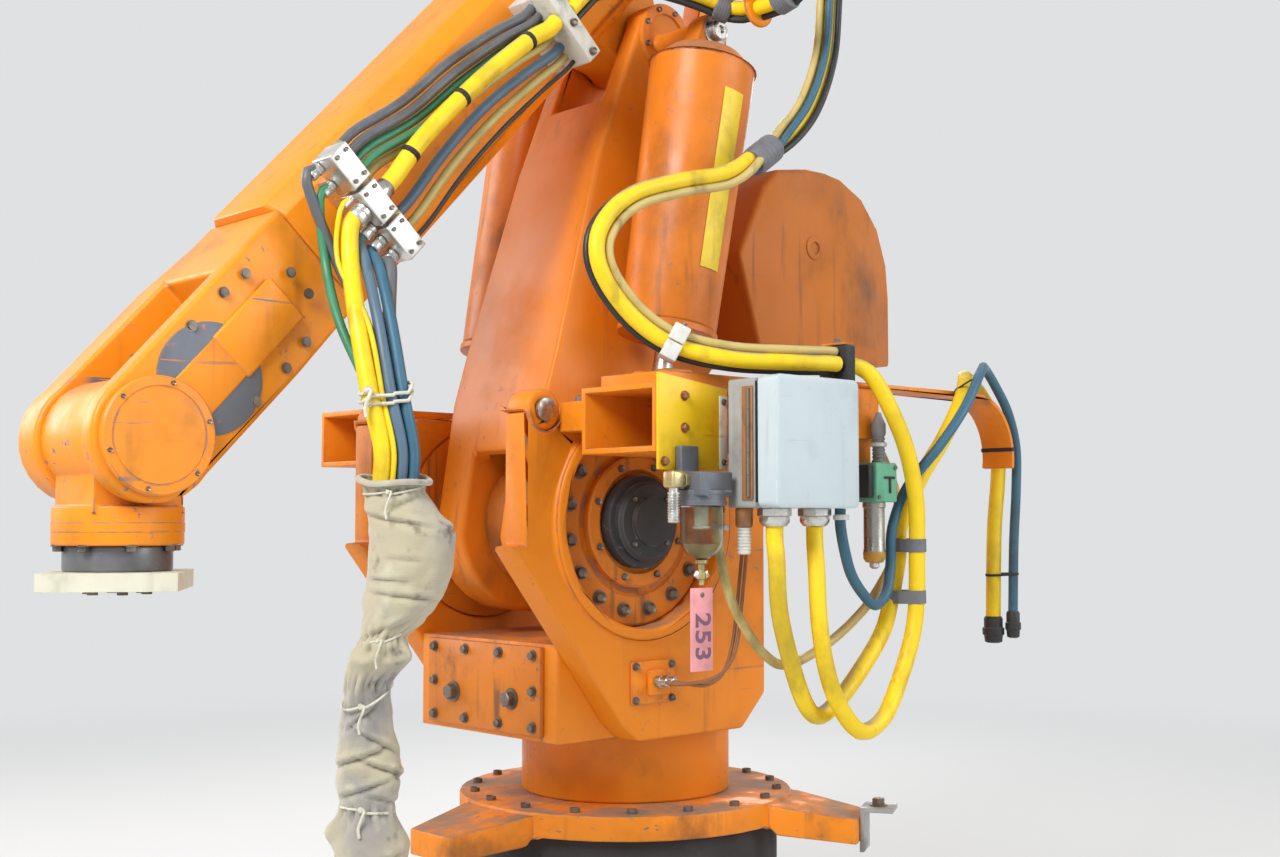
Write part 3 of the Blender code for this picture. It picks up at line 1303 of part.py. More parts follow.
def air_equipment():
    """The air filter on its yellow plate with a numbered tag, and the green valve with its lubricator."""
    face = POCKET_OUTER + SEAT_GAP
    outline = [
        (FILTER_PLATE_REAR, FILTER_PLATE_BOTTOM),
        (POCKET_FRONT, FILTER_PLATE_BOTTOM),
        (POCKET_FRONT, FILTER_PLATE_TOP),
        (FILTER_PLATE_REAR, FILTER_PLATE_TOP - FILTER_PLATE_FALL),
    ]
    plate_outer = face + FILTER_PLATE_THICKNESS
    coloured(side_plate("filter_plate", outline, face, plate_outer, turn_axis), YELLOW_PAINT)
    half, tab = FILTER_BLOCK_SIDE / 2, FILTER_TAB_WIDTH / 2
    head = box(
        "filter_head",
        (FILTER_X - half, FILTER_Y - half, FILTER_RIM_TOP - OVERRUN / 2),
        (FILTER_X + half, FILTER_Y + half, FILTER_BLOCK_TOP),
        turn_axis,
    )
    rim = drum(
        "filter_rim",
        (FILTER_X, FILTER_Y, FILTER_RIM_BOTTOM),
        (FILTER_X, FILTER_Y, FILTER_RIM_TOP),
        FILTER_RIM_RADIUS,
        32,
        turn_axis,
    )
    mounting_tab = box(
        "filter_tab",
        (FILTER_X - tab, plate_outer + SEAT_GAP, FILTER_RIM_TOP),
        (FILTER_X + tab, FILTER_Y - half + OVERRUN / 2, FILTER_TAB_TOP),
        turn_axis,
    )
    port_y = FILTER_Y - FILTER_PORT_RADIUS
    port = drum(
        "filter_port",
        (FILTER_X - FILTER_PORT_REACH, port_y, FILTER_RIM_BOTTOM - FILTER_PORT_RADIUS),
        (FILTER_X - FILTER_PORT_REACH, port_y, FILTER_RIM_TOP),
        FILTER_PORT_RADIUS,
        16,
        turn_axis,
    )
    port_arm = box(
        "filter_port_arm",
        (FILTER_X - FILTER_PORT_REACH, port_y - FILTER_PORT_RADIUS / 2, FILTER_RIM_BOTTOM + FILTER_PORT_RADIUS / 2),
        (FILTER_X - half + OVERRUN / 2, port_y + FILTER_PORT_RADIUS / 2, FILTER_RIM_TOP - FILTER_PORT_RADIUS / 2),
        turn_axis,
    )
    coloured(join(head, rim, mounting_tab, port, port_arm), DARK)
    bowl = drum(
        "filter_bowl",
        (FILTER_X, FILTER_Y, BOWL_BOTTOM),
        (FILTER_X, FILTER_Y, FILTER_RIM_BOTTOM - SEAT_GAP),
        BOWL_RADIUS,
        32,
        turn_axis,
    )
    nose = drum(
        "filter_nose",
        (FILTER_X, FILTER_Y, BOWL_NOSE_BOTTOM),
        (FILTER_X, FILTER_Y, BOWL_BOTTOM + SEAT_GAP),
        BOWL_NOSE_RADIUS,
        32,
        turn_axis,
        BOWL_RADIUS,
    )
    coloured(join(bowl, nose), CLEAR)
    tag = box(
        "tag",
        (FILTER_X - TAG_WIDTH / 2, FILTER_Y - TAG_THICKNESS / 2, TAG_BOTTOM),
        (FILTER_X + TAG_WIDTH / 2, FILTER_Y + TAG_THICKNESS / 2, BOWL_NOSE_BOTTOM - SEAT_GAP),
        turn_axis,
    )
    coloured(tag, PINK)
    side = VALVE_SIDE / 2
    valve = box(
        "green_valve",
        (VALVE_X - side, VALVE_Y - side, VALVE_BOTTOM),
        (VALVE_X + side, VALVE_Y + side, VALVE_TOP),
        turn_axis,
    )
    coloured(valve, GREEN)
    lubricator = drum(
        "lubricator",
        (VALVE_X, VALVE_Y, LUBRICATOR_BOTTOM),
        (VALVE_X, VALVE_Y, VALVE_BOTTOM - SEAT_GAP),
        LUBRICATOR_RADIUS,
        24,
        turn_axis,
    )
    coloured(lubricator, STEEL)


def frame_cables():
    """The two yellow cables, the blue and the tan hose in their loops, and the harness up to the elbow's axis."""
    hose("supply_cable", SUPPLY_CABLE_ROUTE, CABLE_RADIUS, YELLOW_CABLE, STIFF_STEP, turn_axis)
    hose("loop_cable", LOOP_CABLE_ROUTE, CABLE_RADIUS, YELLOW_CABLE, STIFF_STEP, turn_axis)
    hose("blue_hose", BLUE_HOSE_ROUTE, BLUE_HOSE_RADIUS, BLUE_HOSE, BLUE_STEP, turn_axis)
    hose("tan_hose", TAN_HOSE_ROUTE, TAN_HOSE_RADIUS, TAN_HOSE, TAN_STEP, turn_axis)
    hose("harness", HARNESS_ROUTE, HARNESS_RADIUS, BLACK, THICK_STEP, turn_axis)


def arm_equipment():
    """The hose manifold and the rear clamp on the upper arm's left side, and the hose pack between them."""
    arm_face = HOUSING_HALF_WIDTH + SEAT_GAP
    half, along = MANIFOLD_BLOCK_LENGTH / 2, MANIFOLD_ALONG
    first, last = MANIFOLD_ROWS[0], MANIFOLD_ROWS[-1]
    margin = OVERRUN / 4
    plate = box(
        "manifold",
        (along - BRACKET_THICKNESS / 2, arm_face, first[0] + margin),
        (along + BRACKET_THICKNESS / 2, MANIFOLD_INNER + OVERRUN, UPPER_ARM_OFFSET + HOUSING_ABOVE - HOUSING_CHAMFER),
        elbow,
    )
    rail = box(
        "manifold_rail",
        (along - BRACKET_THICKNESS / 2, MANIFOLD_INNER + margin, first[0] + margin),
        (along + BRACKET_THICKNESS / 2, MANIFOLD_INNER + OVERRUN, last[1] - margin),
        elbow,
    )
    join(plate, rail)
    for number, (low, high) in enumerate(MANIFOLD_ROWS):
        block = box(
            f"manifold_block_{number}", (along - half, MANIFOLD_INNER, low), (along + half, MANIFOLD_OUTER, high), elbow
        )
        join(plate, block)
    coloured(plate, ALUMINIUM)
    half, along = REAR_CLAMP_LENGTH / 2, REAR_CLAMP_ALONG
    clamp = box(
        "rear_clamp", (along - half, arm_face, REAR_CLAMP_LOW), (along + half, MANIFOLD_OUTER, REAR_CLAMP_HIGH), elbow
    )
    coloured(clamp, ALUMINIUM)
    hose("elbow_cable", ELBOW_CABLE_ROUTE, HARNESS_RADIUS, BLACK, THICK_STEP, turn_axis)
    hose("pack_cable", PACK_CABLE_ROUTE, PACK_CABLE_RADIUS, YELLOW_CABLE, STIFF_STEP, elbow)
    band = side_plate("pack_hoses", PACK_HOSES_OUTLINE, PACK_HOSES_INNER, PACK_HOSES_OUTER, elbow)
    coloured(band, BLACK)


def lofted(name, rings, sides, pivot, top_slope=0.0):
    """A closed soft shape through level oval rings, each given by its centre and its two half-widths."""
    form = bmesh.new()
    loops = []
    slope = top_slope
    for across, aside, up, deep, wide in rings:
        loop = []
        for step in range(sides):
            angle = 2 * math.pi * step / sides
            out = deep * math.cos(angle)
            loop.append(form.verts.new((across + out, aside + wide * math.sin(angle), up + slope * out)))
        loops.append(loop)
        slope = 0.0
    for upper, under in zip(loops, loops[1:]):
        for step in range(sides):
            after = (step + 1) % sides
            form.faces.new((upper[step], under[step], under[after], upper[after]))
    form.faces.new(loops[0])
    form.faces.new(reversed(loops[-1]))
    bmesh.ops.recalc_face_normals(form, faces=form.faces)
    mesh = bpy.data.meshes.new(name)
    form.to_mesh(mesh)
    form.free()
    return placed(name, mesh, (0.0, 0.0, 0.0), pivot)


def hanging_bundle():
    """The hoses that hang from the manifold, and the canvas sleeve over their lower part."""
    coloured(lofted("hanging_hoses", HANGING_HOSES_RINGS, SLEEVE_SIDES, turn_axis, HANGING_TOP_SLOPE), BLACK)
    coloured(lofted("canvas_sleeve", SLEEVE_RINGS, SLEEVE_SIDES, turn_axis), CANVAS)


fixed_base()
turning_frame()
lower_arm()
balance(1, "left")
balance(-1, "right")
parallel_linkage()
upper_arm()
forearm()
tool_end()
fork_pocket(1, "left")
fork_pocket(-1, "right")
equipment_bracket()
control_box()
air_equipment()
frame_cables()
arm_equipment()
hanging_bundle()
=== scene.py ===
"""Looks of a floor-standing industrial robot arm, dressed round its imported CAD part."""

import json
import math

import bpy
import bmesh
from mathutils import Matrix, Vector, noise

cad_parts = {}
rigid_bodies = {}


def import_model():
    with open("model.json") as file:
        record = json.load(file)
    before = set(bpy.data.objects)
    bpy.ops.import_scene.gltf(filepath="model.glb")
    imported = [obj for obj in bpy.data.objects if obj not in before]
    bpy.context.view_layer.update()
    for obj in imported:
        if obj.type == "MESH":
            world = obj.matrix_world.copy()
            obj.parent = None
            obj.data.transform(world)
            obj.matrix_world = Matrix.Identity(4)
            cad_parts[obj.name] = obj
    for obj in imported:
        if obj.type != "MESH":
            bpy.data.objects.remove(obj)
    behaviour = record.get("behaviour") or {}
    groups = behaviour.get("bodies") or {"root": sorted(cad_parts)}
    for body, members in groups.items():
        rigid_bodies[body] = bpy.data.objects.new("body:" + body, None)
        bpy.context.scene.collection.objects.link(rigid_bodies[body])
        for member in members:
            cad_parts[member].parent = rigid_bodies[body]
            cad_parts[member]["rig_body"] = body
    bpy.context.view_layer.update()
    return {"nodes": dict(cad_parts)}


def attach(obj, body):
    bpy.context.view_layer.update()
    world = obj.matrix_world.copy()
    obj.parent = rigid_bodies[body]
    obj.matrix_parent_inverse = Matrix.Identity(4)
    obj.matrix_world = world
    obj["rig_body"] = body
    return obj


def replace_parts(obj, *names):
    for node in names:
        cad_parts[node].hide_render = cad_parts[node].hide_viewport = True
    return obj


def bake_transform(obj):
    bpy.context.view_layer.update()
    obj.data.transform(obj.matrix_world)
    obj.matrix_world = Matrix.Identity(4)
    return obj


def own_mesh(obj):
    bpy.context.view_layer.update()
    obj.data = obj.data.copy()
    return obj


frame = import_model()

# View, lamps and floor: a plain pale studio floor under large soft lamps, seen from low beside
# the arm's left front, as in the photograph.
bpy.ops.object.select_all(action="DESELECT")
bpy.ops.object.camera_add(
    location=(2.057, 2.263, 0.903), rotation=(math.radians(93.36), 0.0, math.radians(137.2))
)
bpy.context.object.data.sensor_width = 36.0
bpy.context.object.data.lens = 43.875
bpy.context.scene.camera = bpy.context.object
bpy.context.scene.view_settings.view_transform = "Standard"

for lamp_name, lamp_place, lamp_side, lamp_power in (
    ("key_lamp", (3.4, 1.2, 3.2), 1.6, 150.0),
    ("side_lamp", (-1.6, 3.9, 2.6), 2.6, 85.0),
    ("rear_lamp", (-3.2, -2.6, 3.4), 2.2, 110.0),
    ("front_lamp", (2.4, -3.4, 2.6), 2.2, 80.0),
):
    bpy.ops.object.light_add(type="AREA", location=lamp_place)
    lamp = bpy.context.object
    lamp.name = lamp_name
    lamp.rotation_euler = (Vector((0.0, 0.1, 1.0)) - Vector(lamp_place)).to_track_quat("-Z", "Y").to_euler()
    lamp.data.size = lamp_side
    lamp.data.energy = lamp_power

studio = bpy.data.worlds.new("pale_studio")
bpy.context.scene.world = studio
studio.use_nodes = True
studio_air = studio.node_tree.nodes["Background"]
studio_air.inputs["Color"].default_value = (0.93, 0.94, 0.95, 1.0)
studio_seen = studio.node_tree.nodes.new("ShaderNodeLightPath")
seen_ray = studio_seen.outputs["Is Camera Ray"]
for ray in ("Is Glossy Ray", "Is Transmission Ray"):
    either_ray = studio.node_tree.nodes.new("ShaderNodeMath")
    either_ray.operation = "MAXIMUM"
    studio.node_tree.links.new(seen_ray, either_ray.inputs[0])
    studio.node_tree.links.new(studio_seen.outputs[ray], either_ray.inputs[1])
    seen_ray = either_ray.outputs[0]
studio_level = studio.node_tree.nodes.new("ShaderNodeMapRange")
studio_level.inputs["To Min"].default_value = 0.42
studio_level.inputs["To Max"].default_value = 0.8
studio.node_tree.links.new(seen_ray, studio_level.inputs["Value"])
studio.node_tree.links.new(studio_level.outputs["Result"], studio_air.inputs["Strength"])


def shading(name):
    """A new finish with its shader and the steps that mix it: clouds, soft steps, products and colours."""
    finish = bpy.data.materials.new(name)
    finish.use_nodes = True
    tree = finish.node_tree
    place = tree.nodes.new("ShaderNodeTexCoord")

    def cloud(scale, detail=5.0, stretch=(1.0, 1.0, 1.0), turn=(0.0, 0.0, 0.0), rough=0.55):
        mapping = tree.nodes.new("ShaderNodeMapping")
        mapping.inputs["Scale"].default_value = stretch
        mapping.inputs["Rotation"].default_value = turn
        tree.links.new(place.outputs["Object"], mapping.inputs["Vector"])
        texture = tree.nodes.new("ShaderNodeTexNoise")
        texture.inputs["Scale"].default_value = scale
        texture.inputs["Detail"].default_value = detail
        texture.inputs["Roughness"].default_value = rough
        tree.links.new(mapping.outputs["Vector"], texture.inputs["Vector"])
        return texture.outputs["Fac"]

    def between(value, low, high, top=1.0, bottom=0.0, kind="SMOOTHSTEP"):
        step = tree.nodes.new("ShaderNodeMapRange")
        step.interpolation_type = kind
        step.inputs["From Min"].default_value = low
        step.inputs["From Max"].default_value = high
        step.inputs["To Min"].default_value = bottom
        step.inputs["To Max"].default_value = top
        tree.links.new(value, step.inputs["Value"])
        return step.outputs["Result"]

    def sums(first, second, operation="MULTIPLY"):
        step = tree.nodes.new("ShaderNodeMath")
        step.operation = operation
        tree.links.new(first, step.inputs[0])
        tree.links.new(second, step.inputs[1])
        return step.outputs[0]

    def painted(base, over, share):
        mix = tree.nodes.new("ShaderNodeMix")
        mix.data_type = "RGBA"
        tree.links.new(share, mix.inputs["Factor"])
        for socket, paint in ((mix.inputs["A"], base), (mix.inputs["B"], over)):
            if isinstance(paint, tuple):
                socket.default_value = (*paint, 1.0)
            else:
                tree.links.new(paint, socket)
        return mix.outputs["Result"]

    def relief(height, strength, depth, below=None):
        bump = tree.nodes.new("ShaderNodeBump")
        bump.inputs["Strength"].default_value = strength
        bump.inputs["Distance"].default_value = abs(depth)
        bump.invert = depth < 0
        tree.links.new(height, bump.inputs["Height"])
        if below is not None:
            tree.links.new(below, bump.inputs["Normal"])
        return bump.outputs["Normal"]

    return finish, tree, tree.nodes["Principled BSDF"], place, (cloud, between, sums, painted, relief)


bpy.ops.mesh.primitive_circle_add(vertices=64, radius=45.0, fill_type="NGON", location=(0.0, 0.0, -0.0006))
studio_floor = bpy.context.object
studio_floor.name = "studio_floor"
floor_finish, floor_tree, floor_shader, floor_place, (_, between, _, _, _) = shading("pale_floor")
floor_shader.inputs["Base Color"].default_value = (0.7, 0.7, 0.69, 1.0)
floor_shader.inputs["Roughness"].default_value = 0.85
far_away = floor_tree.nodes.new("ShaderNodeVectorMath")
far_away.operation = "LENGTH"
floor_tree.links.new(floor_place.outputs["Object"], far_away.inputs[0])
pale_air = floor_tree.nodes.new("ShaderNodeEmission")
pale_air.inputs["Color"].default_value = (0.93, 0.94, 0.95, 1.0)
pale_air.inputs["Strength"].default_value = 0.8
floor_mix = floor_tree.nodes.new("ShaderNodeMixShader")
floor_tree.links.new(between(far_away.outputs["Value"], 1.4, 5.5), floor_mix.inputs["Fac"])
floor_tree.links.new(floor_shader.outputs["BSDF"], floor_mix.inputs[1])
floor_tree.links.new(pale_air.outputs["Emission"], floor_mix.inputs[2])
floor_tree.links.new(floor_mix.outputs["Shader"], floor_tree.nodes["Material Output"].inputs["Surface"])
studio_floor.data.materials.append(floor_finish)


# Foot and pedestal: a round steel plate on the floor and the drum on it, flame-cut and turned,
# welded, painted dark and grey with old dust. Hexagon bolts hold the plate down.
def worn_finish(
    name,
    colour,
    under=(0.115, 0.115, 0.125),
    roughness=0.45,
    metallic=0.0,
    patch=4.5,
    wear=0.5,
    chips=0.35,
    grime=0.5,
    dust=0.3,
    dust_colour=(0.23, 0.185, 0.145),
    edge=0.004,
    grain=420.0,
    pebbles=0.12,
):
    """Paint or metal that has seen use: uneven colour, oil, scratches, chips, bare edges and dust on top."""
    finish, tree, shader, place, (cloud, between, sums, painted, relief) = shading(name)
    faded = tuple(min(1.0, 1.1 * part + 0.006) for part in colour)
    shaded = tuple(0.62 * part for part in colour)
    surface = painted(colour, faded, between(cloud(patch, 3.0), 0.45, 0.75, 0.6))
    surface = painted(surface, shaded, between(cloud(patch * 1.7, 6.0), 0.5, 0.8, 0.7))
    oil = between(cloud(patch * 0.8, 9.0, (1.0, 1.0, 0.7), (0.3, 0.2, 0.1), 0.62), 0.53, 0.7, grime)
    surface = painted(surface, (0.045, 0.03, 0.02), oil)
    streaks = sums(
        between(cloud(34.0, 3.0, (1.0, 1.0, 0.06)), 0.56, 0.72, grime * 0.8),
        between(cloud(patch), 0.42, 0.6)
    )
    surface = painted(surface, (0.06, 0.042, 0.03), streaks)
    scratches = between(cloud(60.0, 2.0, (0.05, 1.0, 1.6), (0.5, 0.9, 0.4)), 0.67, 0.7, wear)
    scratches = sums(scratches, between(cloud(patch * 1.3, 3.0), 0.48, 0.62))
    surface = painted(surface, under, scratches)
    chipped = sums(
        between(cloud(46.0, 7.0, rough=0.7), 0.6, 0.64, chips),
        between(cloud(patch * 1.1, 2.0, turn=(0.7, 0.1, 0.2)), 0.5, 0.66)
    )
    surface = painted(surface, under, chipped)
    if edge:
        rounded = tree.nodes.new("ShaderNodeBevel")
        rounded.samples = 4
        rounded.inputs["Radius"].default_value = edge
        facing = tree.nodes.new("ShaderNodeNewGeometry")
        turn = tree.nodes.new("ShaderNodeVectorMath")
        turn.operation = "DOT_PRODUCT"
        tree.links.new(rounded.outputs["Normal"], turn.inputs[0])
        tree.links.new(facing.outputs["Normal"], turn.inputs[1])
        rubbed = sums(
            between(turn.outputs["Value"], 0.985, 0.9, wear), between(cloud(28.0, 6.0), 0.4, 0.58)
        )
        surface = painted(surface, under, rubbed)
    upward = tree.nodes.new("ShaderNodeSeparateXYZ")
    tree.links.new(place.outputs["Normal"], upward.inputs["Vector"])
    settled = sums(between(upward.outputs["Z"], 0.55, 0.95, dust), between(cloud(11.0, 6.0), 0.3, 0.62))
    surface = painted(surface, dust_colour, settled)
    tree.links.new(surface, shader.inputs["Base Color"])
    shader.inputs["Metallic"].default_value = metallic
    shader.inputs["Specular IOR Level"].default_value = 0.5 if metallic else 0.36
    skin = between(cloud(patch * 2.5, 6.0), 0.3, 0.75, min(1.0, roughness + 0.16), roughness - 0.08)
    dusted = between(settled, 0.0, 0.4, 0.9, roughness - 0.08)
    tree.links.new(sums(skin, dusted, "MAXIMUM"), shader.inputs["Roughness"])
    grains = relief(cloud(grain, 3.0), pebbles, 0.0006)
    waves = relief(cloud(26.0, 3.0), min(1.0, pebbles * 1.6), 0.0012, grains)
    tree.links.new(relief(chipped, 0.5, -0.0004, waves), shader.inputs["Normal"])
    return finish


def alone(piece):
    """Selects one object and makes it the active one."""
    bpy.ops.object.select_all(action="DESELECT")
    piece.select_set(True)
    bpy.context.view_layer.objects.active = piece


def moved(*place):
    """The frame that is moved to one place."""
    return Matrix.Translation(place)


def spun(degrees, axis="Y"):
    """The frame that is turned by some degrees."""
    return Matrix.Rotation(math.radians(degrees), 4, axis)


def pointing(facing):
    """The frame whose Z axis points one way."""
    return Vector(facing).to_track_quat("Z", "Y").to_matrix().to_4x4()


def editing():
    """Starts the edit of the active piece's mesh with everything selected."""
    bpy.ops.object.mode_set(mode="EDIT")
    bpy.ops.mesh.select_all(action="SELECT")


def edited():
    """Turns every face outward and ends the edit."""
    bpy.ops.mesh.select_all(action="SELECT")
    bpy.ops.mesh.normals_make_consistent(inside=False)
    bpy.ops.object.mode_set(mode="OBJECT")


def walled(piece, thickness, side=1.0):
    """A thin shape made solid: its wall grows outward, or inward with side -1."""
    alone(piece)
    wall = piece.modifiers.new("wall", "SOLIDIFY")
    wall.thickness = thickness
    wall.offset = side
    bpy.ops.object.modifier_apply(modifier="wall")


def joined(group):
    """Several pieces joined into the first."""
    alone(group[0])
    for piece in group:
        piece.select_set(True)
    bpy.ops.object.join()
    return bpy.context.object


def fitted(piece, name, body, finish, frame_of=None, sharp=32.0):
    """A finished piece: set in its part's frame, its place in its mesh, painted and riding on its body."""
    if frame_of is not None:
        piece.matrix_world = frame_of @ piece.matrix_world
    alone(piece)
    bpy.ops.object.transform_apply(location=True, rotation=True, scale=True)
    if sharp:
        bpy.ops.object.shade_smooth_by_angle(angle=math.radians(sharp))
    piece.name = name
    piece.data.materials.clear()
    piece.data.materials.append(finish)
    if body:
        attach(piece, body)
    return piece


def softened(piece, width, segments=2):
    """Rounds the sharp edges of a piece, as a file, a mould or thick paint leaves them."""
    alone(piece)
    rounding = piece.modifiers.new("rounding", "BEVEL")
    rounding.width = width
    rounding.segments = segments
    rounding.limit_method = "ANGLE"
    rounding.angle_limit = math.radians(30.0)
    rounding.use_clamp_overlap = False
    bpy.ops.object.modifier_apply(modifier="rounding")
    return piece


def casting(node, finish, edge=0.003, segments=2):
    """A CAD node's own shape, with its loose triangles joined and its sharp edges rounded as cast metal."""
    solid = frame["nodes"][node]
    body = solid["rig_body"]
    piece = bpy.data.objects.new(f"{node}_form", solid.data.copy())
    bpy.context.scene.collection.objects.link(piece)
    alone(piece)
    bpy.ops.mesh.customdata_custom_splitnormals_clear()
    editing()
    bpy.ops.mesh.remove_doubles(threshold=0.00002)
    bpy.ops.object.mode_set(mode="OBJECT")
    if edge:
        softened(piece, edge, segments)
    fitted(piece, f"{node}_form", body, finish)
    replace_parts(piece, node)
    return piece


def hex_bolt(size, socket=False, washer=True):
    """One bolt head on its washer, standing on the XY plane: hexagon, or round with a hexagon socket."""
    bpy.ops.mesh.primitive_cylinder_add(vertices=16 if socket else 6, radius=size, depth=size * 0.9)
    head = bpy.context.object
    bpy.ops.object.mode_set(mode="EDIT")
    bpy.ops.transform.translate(value=(0.0, 0.0, size * (0.62 if washer else 0.42)))
    bpy.ops.object.mode_set(mode="OBJECT")
    top = max(head.data.polygons, key=lambda face: face.center.z)
    for face in head.data.polygons:
        face.select = face.index == top.index
    bpy.ops.object.mode_set(mode="EDIT")
    bpy.ops.mesh.select_mode(type="FACE")
    bpy.ops.mesh.inset(thickness=size * (0.42 if socket else 0.12))
    bpy.ops.transform.translate(value=(0.0, 0.0, size * (-0.45 if socket else 0.12)))
    if washer:
        bpy.ops.mesh.primitive_cylinder_add(vertices=16, radius=size * 1.35, depth=size * 0.22)
        bpy.ops.transform.translate(value=(0.0, 0.0, size * 0.1))
    bpy.ops.object.mode_set(mode="OBJECT")
    alone(head)
    bpy.ops.object.transform_apply(location=True, rotation=True, scale=True)
    return head


def copies(model, name, places, facing, body, finish, frame_of=None):
    """The model repeated at each place, its top facing one way, joined into one piece and removed itself."""
    group = []
    for number, place in enumerate(places):
        again = bpy.data.objects.new(name, model.data.copy())
        bpy.context.scene.collection.objects.link(again)
        again.matrix_world = moved(*place) @ pointing(facing) @ Matrix.Rotation(0.7 * number, 4, "Z")
        group.append(again)
    bpy.data.objects.remove(model)
    return fitted(joined(group), name, body, finish, frame_of)


def ring_of(count, radius, centre, across="Z", first=0.0):
    """Places evenly round a circle whose axis is one of the three directions."""
    places = []
    for number in range(count):
        angle = math.radians(first + 360.0 * number / count)
        one, two = radius * math.cos(angle), radius * math.sin(angle)
        offset = {"Z": (one, two, 0.0), "Y": (one, 0.0, two), "X": (0.0, one, two)}[across]
        places.append(Vector(centre) + Vector(offset))
    return places


def bolts(head, name, places, facing, body, frame_of=None):
    """Steel bolts with one head, as hex_bolt takes it, at each place."""
    return copies(hex_bolt(*head), name, places, facing, body, bolt_steel, frame_of)


UP, DOWN, NEAR, FORWARD = (0, 0, 1), (0, 0, -1), (0, 1, 0), (1, 0, 0)
SIDES = ((1, "left"), (-1, "right"))
dark_paint = worn_finish(
    "dark_casting_finish", (0.03, 0.028, 0.027), (0.16, 0.1, 0.06), 0.62, dust=0.75, grime=0.3, wear=0.3
)
bolt_steel = worn_finish(
    "bolt_steel_finish", (0.2, 0.17, 0.14), (0.3, 0.27, 0.23), 0.45, 0.75, patch=30.0, dust=0.2, edge=0.001
)
casting("base_foot", dark_paint, 0.004)
casting("base_pedestal", dark_paint, 0.003)
copies(
    hex_bolt(0.014), "foot_bolts", ring_of(12, 0.365, (0.0, 0.0, 0.03), first=15.0), UP, "base", bolt_steel,
)

# Clamping ring: a thick orange steel ring on the pedestal with three hold-down arms, all cast in one,
# its top grey where paint has worn through. Socket screws hold it, and a zinc angle ties one arm down.
orange = (0.8, 0.238, 0.008)
ring_paint = worn_finish(
    "ring_orange_paint", orange, roughness=0.42, patch=6.0, wear=0.8, chips=0.8, grime=0.62, dust=0.9
)
casting("base_ring", ring_paint, 0.005)
ring_screws = ring_of(18, 0.292, (0.0, 0.0, 0.39), first=10.0)
bolts((0.009, True, False), "ring_screws", ring_screws, UP, "base")
zinc = worn_finish("zinc_finish", (0.42, 0.42, 0.41), (0.2, 0.15, 0.1), 0.42, 0.85, patch=18.0, dust=0.4)
casting("tie_down_bracket", zinc, 0.0015)
tie_angle = math.radians(120.0)
tie_bolts = [Vector((0.49 * math.cos(tie_angle), 0.49 * math.sin(tie_angle), 0.3774))]
bolts((0.012,), "tie_down_bolt", tie_bolts, UP, "base")

# Turning frame: the cast floor and neck that turn on the base, with a bolted steel cover in front and
# the turning motor standing inside, everything painted orange over primer and rubbed by passing cables.
frame_paint = worn_finish(
    "frame_orange_paint", orange, patch=3.6, wear=0.55, chips=0.5, grime=0.55, dust=0.7, edge=0.006
)
casting("frame_floor", frame_paint, 0.004, 3)
cover_paint = worn_finish(
    "cover_orange_paint", (0.62, 0.18, 0.01), patch=9.0, wear=0.9, chips=0.9, grime=0.9, dust=0.5
)
casting("front_cover_plate", cover_paint, 0.0015)
cover_face = 0.348
cover_bolts = [
    (cover_face, side * across, height)
    for side in (-1, 1)
    for across, height in ((0.145, 0.545), (0.145, 0.607), (0.145, 0.669), (0.05, 0.545), (0.05, 0.669))
]
bolts((0.0075,), "cover_bolts", cover_bolts, FORWARD, "turning_frame")
bolts(
    (0.014,), "cover_plugs", [(cover_face, -0.085, 0.59), (cover_face, 0.085, 0.59)], FORWARD,
    "turning_frame"
)
motor_black = worn_finish(
    "motor_black_paint", (0.035, 0.036, 0.038), (0.25, 0.25, 0.25), 0.5, patch=12.0, dust=0.6, edge=0.002
)
casting("turning_motor", motor_black, 0.004)


def stacked(steps, sides=48):
    """A turned form on the Z axis: a disc extruded and scaled step by step through (radius, height) pairs."""
    bpy.ops.mesh.primitive_circle_add(
        vertices=sides, radius=steps[0][0], fill_type="NGON", location=(0.0, 0.0, 0.0)
    )
    piece = bpy.context.object
    bpy.ops.object.mode_set(mode="EDIT")
    bpy.ops.transform.translate(value=(0.0, 0.0, steps[0][1]))
    for (radius, height), (wider, higher) in zip(steps, steps[1:]):
        bpy.ops.mesh.extrude_region_move(TRANSFORM_OT_translate={"value": (0.0, 0.0, higher - height)})
        share = wider / radius
        bpy.ops.transform.resize(value=(share, share, 1.0), center_override=(0.0, 0.0, higher))
    edited()
    return piece


def ribbed(count, pitch, rib):
    """The steps of one rib repeated up a turned form."""
    return [(radius, height + pitch * step) for step in range(count) for radius, height in rib]


def sized(radius, shares):
    """Steps whose radii are shares of one radius."""
    return [(radius * share, height) for share, height in shares]


def turned(name, steps, centre, facing, body, finish, frame_of=None, sides=48):
    """A stacked form stood at its centre and pointed along its axis."""
    piece = stacked(steps, sides)
    piece.matrix_world = moved(*centre) @ pointing(facing)
    return fitted(piece, name, body, finish, frame_of)


motor_cap = ((0.04, 0.0), (0.04, 0.012), (0.047, 0.013), (0.047, 0.03), (0.04, 0.034), (0.02, 0.036))
turned(
    "turning_motor_cap", motor_cap, (-0.05, 0.13, 0.8095), UP, "turning_frame", motor_black
)

